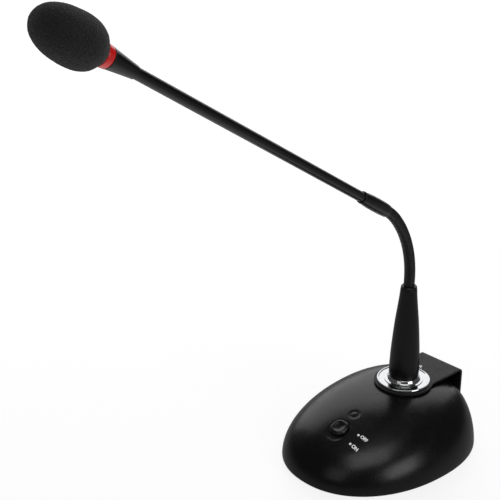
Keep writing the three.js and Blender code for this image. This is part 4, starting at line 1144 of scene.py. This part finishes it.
def add_housing():
    """The capsule housing inside the foam, with three rows of holes round its end."""
    start, end = along_arm("capsule_housing")
    mouth = along_arm("light_ring")[1] + RING_FAR_SHIFT + 0.3
    shape = [
        (0, start), (4.3, start), (4.3, mouth), (6.55, mouth, 0.2), (6.55, end - 4, 1.5),
        (5.6, end - 1.4, 1.2), (3.6, end - 0.3, 1.5), (0, end),
    ]
    housing = lathe("capsule_housing_turned", shape, ARM, 80)
    grille = []  # three staggered rows of ten holes
    for height, stagger in ((end - 6.5, 0), (end - 9.5, 0.5), (end - 12.5, 0)):
        for step in range(10):
            turn = Matrix.Rotation(2 * math.pi * (step + stagger) / 10, 4, "Z")
            place = turn @ Matrix.Translation((0, 0, height))
            grille.append(rod(1, 5.4, 8, ARM @ place @ Matrix.Rotation(math.pi / 2, 4, "Y"), 16))
    carve(housing, *grille)
    place_piece(housing, NECK, "head_arm", "neck_paint", "capsule_housing")


def foam_radius(share):
    """The foam's radius at a share of its length, from -1 at the ring to 1 at the tip."""
    oval = (1 - abs(share) ** FOAM_SQUARENESS) ** (1 / FOAM_SQUARENESS)
    return FOAM_RADIUS * oval * (1 - FOAM_TAPER * share)


def add_foam():
    """The egg-shaped windscreen, with open pores and a mouth that grips the housing."""
    start, end = along_arm("foam_windscreen")
    middle, half = (start + end) / 2, (end - start) / 2
    mouth = start + RING_FAR_SHIFT
    profile = [
        (0, end - POCKET_DEPTH + 0.6), (FOAM_BORE, end - POCKET_DEPTH), (FOAM_BORE, mouth + 1.2),
        (6.95, mouth + 0.35), (7.25, mouth + 0.05), (7.7, mouth + 0.15),
    ]
    for share in np.sin(np.linspace(-1.19, math.pi / 2, 190)):
        radius = foam_radius(share)
        if radius > 8.2 or (share > 0 and radius > 0.05):
            profile.append((radius, middle + half * share))
    profile.append((0, end))
    foam = lathe("foam_windscreen_egg", profile, ARM, 220, crease=80)
    for vertex in foam.data.vertices:
        spot = vertex.co / MM
        local = ARM_INVERSE @ spot
        if math.hypot(local.x, local.y) < FOAM_BORE + 0.05 and local.z < end - POCKET_DEPTH + 1:
            continue
        out = Vector((local.x, local.y, (local.z - middle) * 0.35)).normalized()
        # Fine and coarse pores, and shallow dents between them.
        pores = noise.noise(spot * 2.1) * 0.1 + noise.noise(spot * 0.9 + Vector((7, 3, 1))) * 0.09
        dents = noise.noise(spot * 0.16) * 0.12
        vertex.co = (ARM @ (local + out * (pores + dents - 0.08))) * MM
    place_piece(foam, FOAM, "windscreen", "foam_black", "foam_windscreen")


# ---- CAD parts that stay as they are, inside ----

CARRIED = {
    "ballast_weight": IRON, "battery_tray": DOOR, "tray_screw": ZINC, "battery_cell": CELL,
    "battery_spring": NICKEL, "battery_link_contact": NICKEL, "battery_positive_contact": NICKEL,
    "battery_negative_contact": NICKEL, "circuit_board": BOARD, "board_screw": ZINC, "preamp_chip": CHIP,
    "switch_board_screw": ZINC, "switch_board": BOARD, "slide_switch_body": ZINC, "indicator_led": LED,
    "threaded_neck_tube": ZINC, "neck_washer": ZINC, "neck_lock_nut": ZINC, "base_lead": LEAD,
    "tube_lead": LEAD, "led_ring_board": BOARD, "capsule_isolator": RUBBER, "mic_capsule": ALUMINIUM,
}


def finish_carried_parts():
    """Gives each CAD part that no piece replaces its material, by the start of its name."""
    for name, node in nodes.items():
        if node.hide_render:
            continue
        family = max((key for key in CARRIED if name.startswith(key)), key=len)
        node.data.materials.clear()
        node.data.materials.append(CARRIED[family].material)


make_camera()
make_studio()
add_shell()
add_knob()
add_indicator()
add_labels()
add_underside()
add_socket()
add_bracket()
add_flange()
add_hub()
add_stem()
add_bracket_screw()
add_neck()
add_collar()
add_tube()
add_ferrule()
add_light_ring()
add_housing()
add_foam()
finish_carried_parts()
